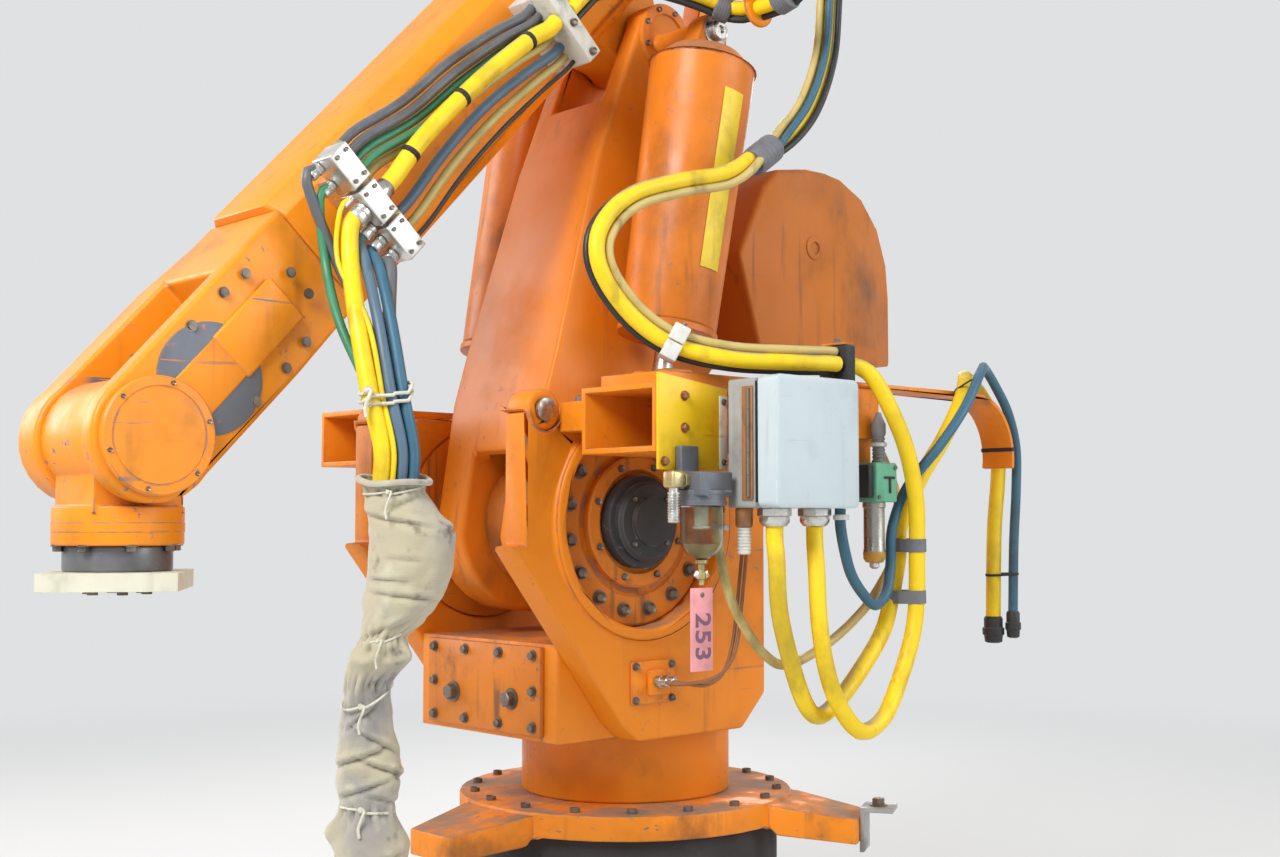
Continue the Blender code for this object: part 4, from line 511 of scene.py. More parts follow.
# Cheeks: the two cast side walls with round drive openings, raised rims and lifting ears. Each opening
# holds a gear flange fixed by a circle of socket screws, with the drive motor's dark end in the middle.
SHOULDER_X, SHOULDER_Z = 0.188, 0.9
steel_shine = worn_finish(
    "pin_steel", (0.5, 0.49, 0.47), (0.3, 0.25, 0.2), 0.28, 1.0, patch=25.0, dust=0.1, edge=0.001,
    pebbles=0.05
)
flange_paint = worn_finish(
    "flange_orange_paint", (0.66, 0.19, 0.008), patch=8.0, wear=0.6, chips=0.7, grime=0.85
)
for side, word in SIDES:
    casting(f"cheek_{word}", frame_paint, 0.007, 3)
    casting(f"drive_flange_{word}", flange_paint, 0.003)
    casting(f"drive_motor_{word}", motor_black, 0.005)
    hub = (SHOULDER_X, side * 0.2262, SHOULDER_Z)
    outward = (0, side, 0)
    rim_steps = (
        (0.183, 0.0), (0.183, 0.003), (0.179, 0.006), (0.132, 0.006), (0.128, 0.002), (0.124, 0.0005)
    )
    turned(f"drive_cover_{word}", rim_steps, hub, outward, "turning_frame", flange_paint)
    boss_steps = (
        (0.116, 0.0), (0.116, 0.012), (0.112, 0.015), (0.092, 0.015), (0.088, 0.008), (0.083, 0.006)
    )
    turned(f"drive_boss_{word}", boss_steps, hub, outward, "turning_frame", flange_paint)
    screws = ring_of(16, 0.156, (SHOULDER_X, side * 0.232, SHOULDER_Z), "Y", 11.0)
    bolts((0.01, True), f"drive_screws_{word}", screws, outward, "turning_frame")
    screws = ring_of(8, 0.102, (SHOULDER_X, side * 0.241, SHOULDER_Z), "Y", 20.0)
    bolts((0.006, True, False), f"boss_screws_{word}", screws, outward, "turning_frame")
    cap_steps = ((0.07, 0.0), (0.07, 0.01), (0.064, 0.016), (0.044, 0.017), (0.042, 0.024), (0.022, 0.026))
    cap_place = (SHOULDER_X, side * 0.2558, SHOULDER_Z)
    turned(
        f"drive_motor_cap_{word}", cap_steps, cap_place, outward, "turning_frame", motor_black,
    )
    screws = ring_of(4, 0.055, (SHOULDER_X, side * 0.271, SHOULDER_Z), "Y", 45.0)
    bolts((0.0045, True, False), f"motor_screws_{word}", screws, outward, "turning_frame")
    ear_steps = ((0.0145, 0.0), (0.0145, 0.066), (0.02, 0.066), (0.02, 0.071), (0.015, 0.073))
    ear_place = (0.4175, side * 0.195, 1.086)
    turned(
        f"ear_pin_{word}", ear_steps, ear_place, outward, "turning_frame", steel_shine,
        sides=24
    )
    pivot_steps = ((0.015, 0.0), (0.015, 0.004), (0.013, 0.007), (0.006, 0.007), (0.005, 0.004))
    pivot_place = (0.133, side * 0.2901, 1.14)
    turned(
        f"rod_pin_{word}", pivot_steps, pivot_place, outward, "turning_frame", steel_shine,
        sides=24
    )


def block(low, high, edge=0.001, segments=2):
    """A block between two corners with its edges rounded, left at its place for more shaping."""
    low, high = Vector(low), Vector(high)
    bpy.ops.mesh.primitive_cube_add(size=1.0, location=(low + high) / 2)
    piece = bpy.context.object
    piece.scale = high - low
    bpy.ops.object.transform_apply(location=True, rotation=True, scale=True)
    editing()
    bpy.ops.mesh.bevel(offset=edge, segments=segments, affect="EDGES")
    bpy.ops.object.mode_set(mode="OBJECT")
    return piece


def slab(name, low, high, edge, finish, body="turning_frame", frame_of=None, segments=2):
    """A block that is a piece by itself."""
    return fitted(block(low, high, edge, segments), name, body, finish, frame_of)


connector_paint = worn_finish(
    "connector_cover_paint", orange, (0.13, 0.14, 0.16), patch=30.0, wear=1.0, chips=1.0, grime=0.4
)
slab(
    "connector_cover", (0.122, 0.2583, 0.583), (0.224, 0.264, 0.658), 0.002, connector_paint
)
slab("connector_seat", (0.14, 0.2638, 0.598), (0.19, 0.274, 0.643), 0.003, connector_paint)
cover_screws = [(across, 0.264, height) for across in (0.13, 0.216) for height in (0.591, 0.65)]
bolts((0.0055, True), "connector_screws", cover_screws, NEAR, "turning_frame")
nut_steps = ((0.0105, 0.0), (0.0105, 0.008), (0.0085, 0.009), (0.0085, 0.02), (0.006, 0.022))
for number, across in enumerate((0.156, 0.174)):
    turned(
        f"connector_nut_{number + 1}", nut_steps, (across, 0.2738, 0.622), (-0.3, 1, 0), "turning_frame",
        steel_shine, sides=12
    )

# Lower arm: one tall hollow casting between the shoulder drives and the elbow, narrower at its head,
# with a bolted ring round each drive and the steel elbow shaft through its fork.
LOWER = moved(SHOULDER_X, 0.0, SHOULDER_Z) @ spun(-11.0)
lower_paint = worn_finish(
    "lower_arm_paint", (0.76, 0.215, 0.008), patch=2.6, wear=0.35, grime=0.5, dust=0.5, edge=0.008
)
casting("lower_arm", lower_paint, 0.01, 3)
casting("elbow_shaft", steel_shine, 0.002)
for side, word in SIDES:
    ring_steps = (
        (0.066, 0.0), (0.066, 0.004), (0.062, 0.007), (0.046, 0.007), (0.044, 0.003), (0.036, 0.003)
    )
    place = (0.0, side * 0.1178, 0.95)
    turned(
        f"elbow_ring_{word}", ring_steps, place, (0, side, 0), "lower_arm", lower_paint,
        LOWER
    )
    screws = ring_of(8, 0.055, (0.0, side * 0.1248, 0.95), "Y", 12.0)
    bolts((0.005, True, False), f"elbow_screws_{word}", screws, (0, side, 0), "lower_arm", LOWER)

# Balancing cylinders: two painted steel tubes hung beside the lower arm's head, open below where the
# bright rods come out. The near one carries a bare strip of yellow tape.
cylinder_paint = worn_finish(
    "cylinder_orange_paint", (0.68, 0.19, 0.012), patch=3.2, chips=0.4, grime=0.6, dust=0.6, roughness=0.38
)
# A flat near-black finish for the guide deep in each tube's open end: painted shade of the bore.
painted_shade_black = worn_finish("painted_shade_inside", (0.03, 0.024, 0.018), roughness=0.6, wear=0.0, edge=0.0, dust=0.0)


def cylinder_frame(side):
    """A balancing cylinder's own frame, hung from its upper pivot and leaning to the frame's pivot below."""
    return moved(0.010548, side * 0.238, 1.812913) @ Matrix.Rotation(-math.atan2(0.12245, 0.67291), 4, "Y")


for side, word in SIDES:
    CYLINDER = cylinder_frame(side)
    body = f"balance_cylinder_{word}"
    casting(body, cylinder_paint, 0.004, 3)
    casting(f"balance_rod_{word}", steel_shine, 0.003)
    eye_steps = (
        (0.029, 0.0), (0.029, 0.004), (0.02, 0.0045), (0.02, 0.014), (0.017, 0.017), (0.008, 0.017),
        (0.006, 0.012)
    )
    turned(
        f"cylinder_pin_{word}", eye_steps, (0.0, side * 0.0202, 0.0), (0, side, 0), body, steel_shine,
        CYLINDER
    )
    collar_steps = ((0.09, 0.0), (0.0915, 0.002), (0.0915, 0.012), (0.0885, 0.015))
    turned(
        f"cylinder_rim_{word}", collar_steps, (0.0, 0.0, -0.59), UP, body, cylinder_paint,
        CYLINDER
    )
    # The guide inside the open end is painted near black as the shade inside the tube.
    spring_guide = (
        (0.0765, 0.0), (0.0765, 0.004), (0.048, 0.006), (0.046, 0.03), (0.023, 0.032), (0.0225, 0.045)
    )
    turned(
        f"cylinder_gland_{word}", spring_guide, (0.0, 0.0, -0.47), DOWN, body, painted_shade_black,
        CYLINDER
    )

tape = worn_finish(
    "yellow_tape", (0.76, 0.56, 0.03), (0.5, 0.3, 0.1), 0.4, patch=14.0, wear=0.3, chips=0.4, grime=0.35,
    dust=0.0, edge=0.0, grain=60.0
)
bpy.ops.mesh.primitive_cone_add(
    vertices=120, radius1=0.0908, radius2=0.0978, depth=0.337, end_fill_type="NOTHING", location=(0, 0, 0)
)
strip = bpy.context.object
for face in strip.data.polygons:
    face.select = abs(math.degrees(math.atan2(face.center.y, face.center.x)) - 88.0) > 14.0
bpy.ops.object.mode_set(mode="EDIT")
bpy.ops.mesh.select_mode(type="FACE")
bpy.ops.mesh.delete(type="FACE")
bpy.ops.mesh.select_all(action="SELECT")
bpy.ops.mesh.subdivide(number_cuts=3)
bpy.ops.transform.translate(value=(0.0, 0.0, -0.3035))
bpy.ops.object.mode_set(mode="OBJECT")
walled(strip, 0.0007)
fitted(strip, "cylinder_tape", "balance_cylinder_left", tape, cylinder_frame(1))

# Parallel arm, tie rod and counterweight: the crank beside the lower arm's foot with the two halves of
# the cast iron counterweight bolted to it, and the rod that carries its turn up to the upper arm.
CRANK = moved(SHOULDER_X, 0.0, SHOULDER_Z) @ spun(47.0)
weight_paint = worn_finish(
    "counterweight_paint", (0.54, 0.155, 0.014), patch=2.4, wear=0.35, chips=0.3, grime=0.75, dust=0.6,
    roughness=0.55, pebbles=0.3
)
casting("parallel_arm", weight_paint, 0.006, 3)
casting("tie_rod", frame_paint, 0.004)
casting("link_pin", steel_shine, 0.002)
for side, word in SIDES:
    casting(f"counterweight_{word}", weight_paint, 0.012, 4)
    plug_steps = (
        (0.024, 0.0), (0.024, 0.0025), (0.02, 0.004), (0.013, 0.004), (0.011, -0.008), (0.003, -0.009)
    )
    turned(
        f"counterweight_plug_{word}", plug_steps, (-0.335, side * 0.1995, 1.454), (0, side, 0),
        "parallel_arm", weight_paint, sides=32
    )
    hub_steps = ((0.07, 0.0), (0.07, 0.003), (0.066, 0.006), (0.05, 0.006), (0.047, 0.001))
    turned(
        f"crank_hub_{word}", hub_steps, (0.0, side * 0.0499, 0.0), (0, side, 0), "parallel_arm",
        weight_paint, CRANK
    )

# Upper arm: the long welded and cast housing above the elbow, with two motors at its rear, and bolted
# covers on its flanks. The arm that holds the cables over the elbow is welded to it.
ARM = moved(0.006731, 0.0, 1.832546) @ spun(47.0)
arm_paint = worn_finish(
    "upper_arm_paint", (0.82, 0.255, 0.006), patch=3.4, chips=0.5, grime=0.45, dust=0.75,
    dust_colour=(0.16, 0.12, 0.105)
)
casting("upper_arm", arm_paint, 0.008, 3)
for number in (1, 2):
    casting(f"wrist_motor_{number}", motor_black, 0.004)
    across = 0.058 * (2 * number - 3)
    flange = ((0.049, 0.0), (0.049, 0.012), (0.046, 0.014))
    turned(
        f"wrist_motor_flange_{number}", flange, (-0.301, across, 0.255), (-1, 0, 0), "upper_arm", arm_paint,
        ARM
    )
    fins = ribbed(9, 0.0165, ((0.0462, 0.0), (0.0478, 0.001), (0.0478, 0.007), (0.0462, 0.008)))
    turned(
        f"wrist_motor_fins_{number}", fins, (-0.323, across, 0.255), (-1, 0, 0), "upper_arm", motor_black,
        ARM
    )
    flat_cap = ((0.04, 0.0), (0.04, 0.003), (0.037, 0.005), (0.02, 0.006))
    turned(
        f"wrist_motor_cap_{number}", flat_cap, (-0.4898, across, 0.255), (-1, 0, 0), "upper_arm",
        motor_black, ARM
    )
    slab(
        f"wrist_motor_plug_{number}", (-0.43, across - 0.02, 0.296), (-0.372, across + 0.02, 0.322), 0.003,
        motor_black, "upper_arm", ARM
    )
for side, word in SIDES:
    rear, front = (0.33, 0.7) if side < 0 else (-0.25, -0.03)
    low, high = (rear, side * 0.1152, 0.118), (front, side * 0.1182, 0.282)
    slab(f"arm_cover_{word}", low, high, 0.0012, arm_paint, "upper_arm", ARM)
    ends = (0.345, 0.515, 0.685) if side < 0 else (-0.238, -0.14, -0.042)
    screws = [(along, side * 0.1182, high) for along in ends for high in (0.13, 0.27)]
    bolts((0.0055, True), f"arm_cover_screws_{word}", screws, (0, side, 0), "upper_arm", ARM)
collar_steps = ((0.108, 0.0), (0.112, 0.002), (0.112, 0.01), (0.108, 0.012))
turned(
    "roll_joint_collar", collar_steps, (0.878, 0.0, 0.2), FORWARD, "upper_arm", arm_paint,
    ARM, sides=64
)

# Forearm and wrist: the rolling casting forked round the wrist. Its near flank is a bolted cover whose
# paint has rubbed down to grey primer, with a raised orange panel, and a turned cap closes each fork end.
WRIST_X, ARM_MIDDLE = 1.29, 0.2
rubbed_primer = worn_finish(
    "rubbed_primer", (0.15, 0.162, 0.19), (0.62, 0.2, 0.04), 0.5, patch=9.0, wear=0.9, chips=1.0, grime=0.3,
    dust=0.2, edge=0.003
)
forearm_paint = worn_finish(
    "forearm_paint", (0.83, 0.27, 0.008), (0.15, 0.162, 0.19), 0.4, patch=6.0, wear=1.0, chips=1.0,
    grime=0.3, dust=0.5, edge=0.006
)
casting("forearm", forearm_paint, 0.008, 3)


def racetrack(length, height, thickness, edge):
    """A long plate with round ends, standing on the XY plane with its length along X."""
    bpy.ops.mesh.primitive_circle_add(
        vertices=40, radius=height / 2, fill_type="NGON", location=(0.0, 0.0, 0.0)
    )
    plate = bpy.context.object
    for vertex in plate.data.vertices:
        vertex.select = vertex.co.x > 0.0001
    bpy.ops.object.mode_set(mode="EDIT")
    bpy.ops.mesh.select_mode(type="VERT")
    bpy.ops.transform.translate(value=(length - height, 0.0, 0.0))
    bpy.ops.mesh.select_all(action="SELECT")
    bpy.ops.transform.translate(value=((height - length) / 2, 0.0, 0.0))
    bpy.ops.mesh.extrude_region_move(TRANSFORM_OT_translate={"value": (0.0, 0.0, thickness)})
    bpy.ops.mesh.inset(thickness=edge)
    bpy.ops.transform.translate(value=(0.0, 0.0, edge * 0.6))
    edited()
    return plate


flank = moved(1.09, 0.115, 0.2) @ spun(-90.0, "X")
fitted(
    racetrack(0.33, 0.172, 0.0095, 0.003), "forearm_cover", "forearm", rubbed_primer,
    ARM @ flank
)
slab(
    "forearm_panel_upper", (0.985, 0.118, 0.158), (1.125, 0.131, 0.242), 0.005, forearm_paint,
    "forearm", ARM, segments=3
)
slab(
    "forearm_panel_lower", (1.115, 0.118, 0.162), (1.25, 0.1285, 0.24), 0.004, arm_paint,
    "forearm", ARM, segments=3
)
screws = [
    (1.012, 0.125, 0.272), (1.06, 0.125, 0.276), (1.135, 0.125, 0.276), (1.01, 0.125, 0.128),
    (1.065, 0.125, 0.124), (1.14, 0.125, 0.124), (0.952, 0.125, 0.222), (0.952, 0.125, 0.178)
]
bolts((0.0065, True), "forearm_screws", screws, NEAR, "forearm", ARM)
cap_paint = worn_finish(
    "wrist_cap_paint", (0.84, 0.27, 0.01), (0.15, 0.162, 0.19), 0.36, patch=8.0, wear=0.9, chips=0.7,
    grime=0.25, dust=0.2, edge=0.003
)
for side, word, face in ((1, "near", 0.1232), (-1, "far", 0.1502)):
    cap_profile = (
        (0.088, 0.0), (0.088, 0.0085), (0.0855, 0.0118), (0.0735, 0.012), (0.0728, 0.0108),
        (0.0712, 0.0108), (0.0705, 0.012)
    )
    cap = turned(
        f"wrist_cap_{word}_form", cap_profile, (WRIST_X, side * face, ARM_MIDDLE), (0, side, 0), "forearm",
        cap_paint, ARM, sides=72
    )
    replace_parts(cap, f"wrist_cap_{word}")
    screws = ring_of(6, 0.0795, (WRIST_X, side * (face + 0.0112), ARM_MIDDLE), "Y", 30.0)
    bolts((0.0034, True, False), f"cap_screws_{word}", screws, (0, side, 0), "forearm", ARM)

WRIST = ARM @ moved(WRIST_X, 0.0, ARM_MIDDLE) @ spun(43.0)
casting("wrist", forearm_paint, 0.003, 3)
collar = ((0.0935, 0.0), (0.0965, 0.002), (0.0965, 0.016), (0.0935, 0.018))
turned(
    "wrist_collar", collar, (0.124, 0.0, 0.0), FORWARD, "wrist", forearm_paint, WRIST,
    sides=64
)
screws = ring_of(8, 0.0865, (0.1598, 0.0, 0.0), "X", 12.0)
bolts((0.0078, False), "wrist_bolts", screws, FORWARD, "wrist", WRIST)
disc_grey = worn_finish(
    "turning_disc_grey", (0.165, 0.17, 0.185), (0.6, 0.58, 0.55), 0.38, 0.5, patch=16.0, wear=1.0,
    chips=0.7, grime=0.4, dust=0.0, edge=0.003
)
casting("turning_disc", disc_grey, 0.003, 3)
pale_plate = worn_finish(
    "pale_plate", (0.68, 0.66, 0.52), (0.4, 0.39, 0.36), 0.4, 0.25, patch=12.0, wear=0.6, chips=0.3,
    grime=0.3, dust=0.2, edge=0.002
)
casting("tool_plate", pale_plate, 0.002, 2)
plate_bolts = ring_of(6, 0.045, (0.2265, 0.0, 0.0), "X", 15.0)
bolts((0.008, True, False), "tool_plate_screws", plate_bolts, FORWARD, "tool_flange", WRIST)

# Fork pockets: two long welded steel tubes that a lift truck's forks slide into, standing on feet bolted
# to the cheeks, with a folded steel hood over the left one. Bracket, saddle and clip hold the cables.
pocket_paint = worn_finish(
    "pocket_orange_paint", orange, patch=5.0, wear=0.7, chips=0.6, grime=0.6, dust=0.75
)
for side, word in SIDES:
    casting(f"fork_pocket_{word}", pocket_paint, 0.0022)
    feet = [(-0.034, side * 0.29, 1.06), (0.366, side * 0.29, 1.1)]
    bolts((0.0085,), f"pocket_bolts_{word}", feet, UP, "turning_frame")
casting("equipment_bracket", pocket_paint, 0.002)
casting("cable_saddle", pocket_paint, 0.0018)
rubber = worn_finish(
    "black_rubber_finish", (0.026, 0.026, 0.028), (0.1, 0.1, 0.1), 0.62, patch=20.0, wear=0.2, chips=0.1,
    dust=0.5, edge=0.0, grain=160.0
)
for number, angle in enumerate((171.0, 172.6)):
    tie = block((-0.0054, 0.5238, -0.0022), (0.0054, 0.5932, 0.0022), 0.001)
    turn = spun(-angle) @ moved(0.111, 0.0, 0.0)
    fitted(
        tie, f"saddle_tie_{number + 1}", "turning_frame", rubber,
        moved(-0.335, 0.0, 1.02) @ turn
    )
saddle_bolts = [(0.02, 0.56, 1.1272), (0.02, 0.532, 1.1272)]
bolts((0.006,), "saddle_bolts", saddle_bolts, UP, "turning_frame")
casting("cable_clip", rubber, 0.004, 3)
slab("clip_strap", (0.05, 0.566, 1.1922), (0.074, 0.616, 1.1962), 0.001, pocket_paint)
bolts((0.0065,), "clip_bolt", [(0.062, 0.592, 1.1962)], UP, "turning_frame")

# Control box: a folded steel box with a deep pressed door on brown gasket and hinge, its face bare, and
# two zinc cable glands screwed in below.
box_grey = worn_finish(
    "box_grey_paint", (0.345, 0.35, 0.335), (0.18, 0.16, 0.14), 0.42, patch=7.0, wear=0.3, chips=0.25,
    grime=0.45, dust=0.4, edge=0.003
)
door_paint = worn_finish(
    "door_pale_paint", (0.53, 0.61, 0.64), (0.25, 0.24, 0.22), 0.34, patch=5.0, wear=0.22, chips=0.15,
    grime=0.22, dust=0.4, pebbles=0.05
)
casting("control_box", box_grey, 0.004, 3)
casting("control_box_door", door_paint, 0.01, 5)
gasket = worn_finish(
    "brown_gasket", (0.35, 0.15, 0.055), (0.12, 0.05, 0.03), 0.5, patch=20.0, chips=0.6, grime=0.6,
    dust=0.1, edge=0.0
)
slab("box_hinge_strip", (0.2842, 0.585, 0.934), (0.2872, 0.608, 1.112), 0.001, gasket)
slab("box_gasket", (0.086, 0.6082, 0.93), (0.283, 0.6108, 1.12), 0.001, rubber)
barrel = ribbed(5, 0.034, ((0.003, 0.0), (0.0036, 0.0008), (0.0036, 0.0322), (0.003, 0.033)))
turned(
    "box_hinge_barrel", barrel, (0.2886, 0.6005, 0.939), UP, "turning_frame", bolt_steel,
    sides=16
)
copies(
    hex_bolt(0.0055, True), "box_latches", [(0.0812, 0.632, 0.975), (0.0812, 0.632, 1.075)], (-1, 0, 0),
    "turning_frame", bolt_steel
)
gland_zinc = worn_finish(
    "gland_zinc", (0.66, 0.66, 0.64), (0.3, 0.28, 0.25), 0.3, 0.9, patch=26.0, chips=0.4, grime=0.45,
    dust=0.2, edge=0.0015
)
for number, across in enumerate((0.228, 0.132)):
    nut_steps = ((0.0262, 0.0), (0.0272, 0.0012), (0.0272, 0.0115), (0.0255, 0.013), (0.02, 0.0132))
    nut = turned(
        f"gland_nut_{number + 1}", nut_steps, (across, 0.6, 0.9217), DOWN, "turning_frame", gland_zinc,
        sides=8
    )
    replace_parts(nut, f"cable_gland_{number + 1}")
    cap_steps = (
        (0.0215, 0.0), (0.0242, 0.0006), (0.0242, 0.0075), (0.0225, 0.0105), (0.019, 0.015), (0.015, 0.0158)
    )
    turned(
        f"gland_cap_{number + 1}", cap_steps, (across, 0.6, 0.9083), DOWN, "turning_frame", gland_zinc,
        sides=10
    )

# Air filter: a clear bowl under a die-cast head on a yellow steel plate screwed to the left pocket, with a
# brass elbow, a silencer, a drain with a wing nut, and a pink plastic tag with a plain number.
FILTER_X, FILTER_Y = 0.331, 0.54
yellow_plate = worn_finish(
    "yellow_plate_paint", (0.87, 0.56, 0.01), (0.45, 0.2, 0.05), 0.34, patch=8.0, wear=0.4, chips=0.3,
    grime=0.3, dust=0.2, edge=0.002
)
casting("filter_plate", yellow_plate, 0.0012)
pale_strip = worn_finish(
    "pale_strip_paint", (0.64, 0.64, 0.59), (0.3, 0.28, 0.25), 0.4, patch=20.0, chips=0.4, dust=0.0,
    edge=0.0
)
slab("plate_strip", (0.2318, 0.5004, 0.985), (0.25, 0.502, 1.104), 0.0006, pale_strip)
bolts((0.004, True), "strip_screws", [(0.241, 0.502, 1.094), (0.241, 0.502, 0.996)], NEAR, "turning_frame")
copper = worn_finish(
    "coppered_screw", (0.42, 0.2, 0.1), (0.2, 0.12, 0.08), 0.38, 0.8, patch=40.0, wear=0.6, chips=0.5,
    dust=0.0, edge=0.001
)
plate_screws = [
    (0.329, 0.5004, 1.1), (0.329, 0.5004, 1.049), (0.373, 0.5004, 0.995), (0.311, 0.5004, 0.995)
]
copies(hex_bolt(0.0062), "plate_screws", plate_screws, NEAR, "turning_frame", copper)
filter_grey = worn_finish(
    "filter_casting_grey", (0.13, 0.14, 0.165), (0.33, 0.33, 0.34), 0.42, 0.3, patch=14.0, wear=0.6,
    chips=0.4, dust=0.6, edge=0.003
)
casting("filter_head", filter_grey, 0.003, 3)
rim_steps = (
    (0.0392, 0.0), (0.0402, 0.001), (0.0402, 0.0065), (0.0388, 0.008), (0.0388, 0.016), (0.0402, 0.0175),
    (0.0402, 0.023), (0.0392, 0.024)
)
turned(
    "filter_ring", rim_steps, (FILTER_X, FILTER_Y, 0.9255), UP, "turning_frame", filter_grey,
    sides=40
)
brass = worn_finish(
    "dull_brass", (0.56, 0.47, 0.23), (0.35, 0.28, 0.16), 0.34, 0.9, patch=30.0, wear=0.4, chips=0.2,
    grime=0.6, dust=0.2, edge=0.0
)
slab(
    "elbow_fitting", (0.378, 0.527, 0.952), (0.404, 0.553, 0.979), 0.005, brass,
    segments=3
)
nut_steps = (
    (0.0125, 0.0), (0.0135, 0.0008), (0.0135, 0.0085), (0.0125, 0.0095), (0.009, 0.01), (0.009, 0.014)
)
turned(
    "elbow_nut", nut_steps, (0.3655, 0.54, 0.964), FORWARD, "turning_frame", brass,
    sides=6
)
silencer_steel = worn_finish(
    "silencer_steel", (0.68, 0.68, 0.66), (0.3, 0.28, 0.25), 0.32, 0.95, patch=40.0, wear=0.2, chips=0.2,
    grime=0.4, dust=0.0, edge=0.0
)
silencer = [(0.0075, 0.0), (0.0075, 0.006), (0.01, 0.007)]
silencer += ribbed(10, 0.0042, ((0.01, 0.009), (0.0086, 0.01), (0.0086, 0.0112), (0.01, 0.0122)))
silencer += [(0.009, 0.0525), (0.005, 0.054)]
turned(
    "silencer", silencer, (0.391, 0.54, 0.952), DOWN, "turning_frame", silencer_steel, sides=20
)
glass, glass_tree, glass_shader, _, (cloud, between, _, _, _) = shading("clear_bowl_plastic")
glass_shader.inputs["Transmission Weight"].default_value = 1.0
glass_shader.inputs["IOR"].default_value = 1.3
glass_film = cloud(55.0, 6.0, rough=0.5)
glass_tint = glass_tree.nodes.new("ShaderNodeValToRGB")
for stop, colour, position in zip(
    glass_tint.color_ramp.elements, ((0.86, 0.88, 0.8, 1.0), (0.62, 0.6, 0.48, 1.0)), (0.42, 0.75)
):
    stop.color = colour
    stop.position = position
glass_tree.links.new(glass_film, glass_tint.inputs["Fac"])
glass_tree.links.new(glass_tint.outputs["Color"], glass_shader.inputs["Base Color"])
glass_haze = between(glass_film, 0.0, 1.0, 0.32, 0.05, "LINEAR")
glass_tree.links.new(glass_haze, glass_shader.inputs["Roughness"])
bowl_steps = [(0.0333, 0.0), (0.0333, 0.05)]
for step in range(1, 9):
    angle = math.radians(10.0 * step)
    bowl_steps.append((0.0333 * math.cos(angle), 0.05 + 0.034 * math.sin(angle)))
bowl = stacked(bowl_steps, 40)
walled(bowl, 0.0022, -1.0)
under_rim = moved(FILTER_X, FILTER_Y, 0.9246) @ Matrix.Rotation(math.pi, 4, "X")
fitted(bowl, "bowl_glass", "turning_frame", glass, under_rim, 40.0)
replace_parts(bowl, "filter_bowl")
residue = worn_finish(
    "oily_residue", (0.33, 0.25, 0.11), (0.2, 0.14, 0.07), 0.4, patch=60.0, wear=0.0, chips=0.3, grime=0.8,
    dust=0.0, edge=0.0
)
residue_steps = [(0.028, 0.0), (0.0262, 0.006), (0.0215, 0.014), (0.013, 0.02), (0.006, 0.0222)]
turned(
    "bowl_residue", residue_steps, (FILTER_X, FILTER_Y, 0.866), DOWN, "turning_frame", residue,
    sides=32
)
core_steps = [(0.011, 0.0), (0.011, 0.03), (0.014, 0.031), (0.014, 0.034), (0.006, 0.036)]
turned(
    "bowl_core", core_steps, (FILTER_X, FILTER_Y, 0.924), DOWN, "turning_frame", pale_strip,
    sides=24
)
drain_steps = [
    (0.0095, 0.0), (0.0105, 0.001), (0.0105, 0.006), (0.006, 0.008), (0.0055, 0.02), (0.0072, 0.0205),
    (0.0072, 0.03), (0.0045, 0.032), (0.0045, 0.04)
]
turned(
    "drain_stem", drain_steps, (FILTER_X, FILTER_Y, 0.842), DOWN, "turning_frame", brass,
    sides=16
)
for side, word in ((1, "front"), (-1, "rear")):
    wing = block((0.0045, -0.0022, -0.0055), (0.0165, 0.0022, 0.0055), 0.0018, 2)
    tilt = moved(FILTER_X, FILTER_Y, 0.813) @ spun(90.0 - 90.0 * side, "Z") @ spun(-28.0)
    fitted(wing, f"wing_nut_{word}", "turning_frame", silencer_steel, tilt)
pink = worn_finish(
    "pink_plastic", (0.79, 0.33, 0.355), (0.7, 0.45, 0.45), 0.48, patch=12.0, wear=0.2, chips=0.15,
    grime=0.25, dust=0.1, edge=0.0, pebbles=0.05
)
casting("tag", pink, 0.0008)
eyelet = ((0.0042, 0.0), (0.0042, 0.0006), (0.0022, 0.001), (0.0018, 0.0002))
turned(
    "tag_eyelet", eyelet, (0.331, 0.5416, 0.787), NEAR, "turning_frame", bolt_steel, sides=16
)
digit_ink = worn_finish(
    "purple_ink", (0.19, 0.095, 0.15), (0.79, 0.33, 0.355), 0.6, patch=60.0, wear=0.2, chips=0.5, grime=0.0,
    dust=0.0, edge=0.0
)
bpy.ops.object.text_add(location=(0.0, 0.0, 0.0))
digits = bpy.context.object
digits.data.body = "253"
digits.data.size = 0.046
digits.data.extrude = 0.00025
digits.data.space_character = 1.12
digits.data.offset = 0.0009
digits.data.align_x = "CENTER"
digits.data.align_y = "CENTER"
alone(digits)
bpy.ops.object.convert(target="MESH")
reading_down = Matrix(
    ((0.0, -1.0, 0.0, 0.331), (0.0, 0.0, 1.0, 0.54176), (-1.0, 0.0, 0.0, 0.722), (0.0, 0.0, 0.0, 1.0))
)
fitted(digits, "tag_digits", "turning_frame", digit_ink, reading_down, 0.0)

# Air valve: a green moulded body on the bracket's arm with a dark coil beside it and a ribbed conduit on
# top, and a lubricator's metal tube with an amber foot screwed in below. A second ribbed fitting hangs
# behind.
VALVE_Y, CONDUIT_X, LUBRICATOR_X = 0.6, -0.034, -0.02
valve_green = worn_finish(
    "valve_green_plastic", (0.115, 0.39, 0.235), (0.05, 0.1, 0.08), 0.42, patch=14.0, wear=0.3, chips=0.2,
    grime=0.45, dust=0.5, edge=0.0
)
casting("green_valve", valve_green, 0.003, 3)
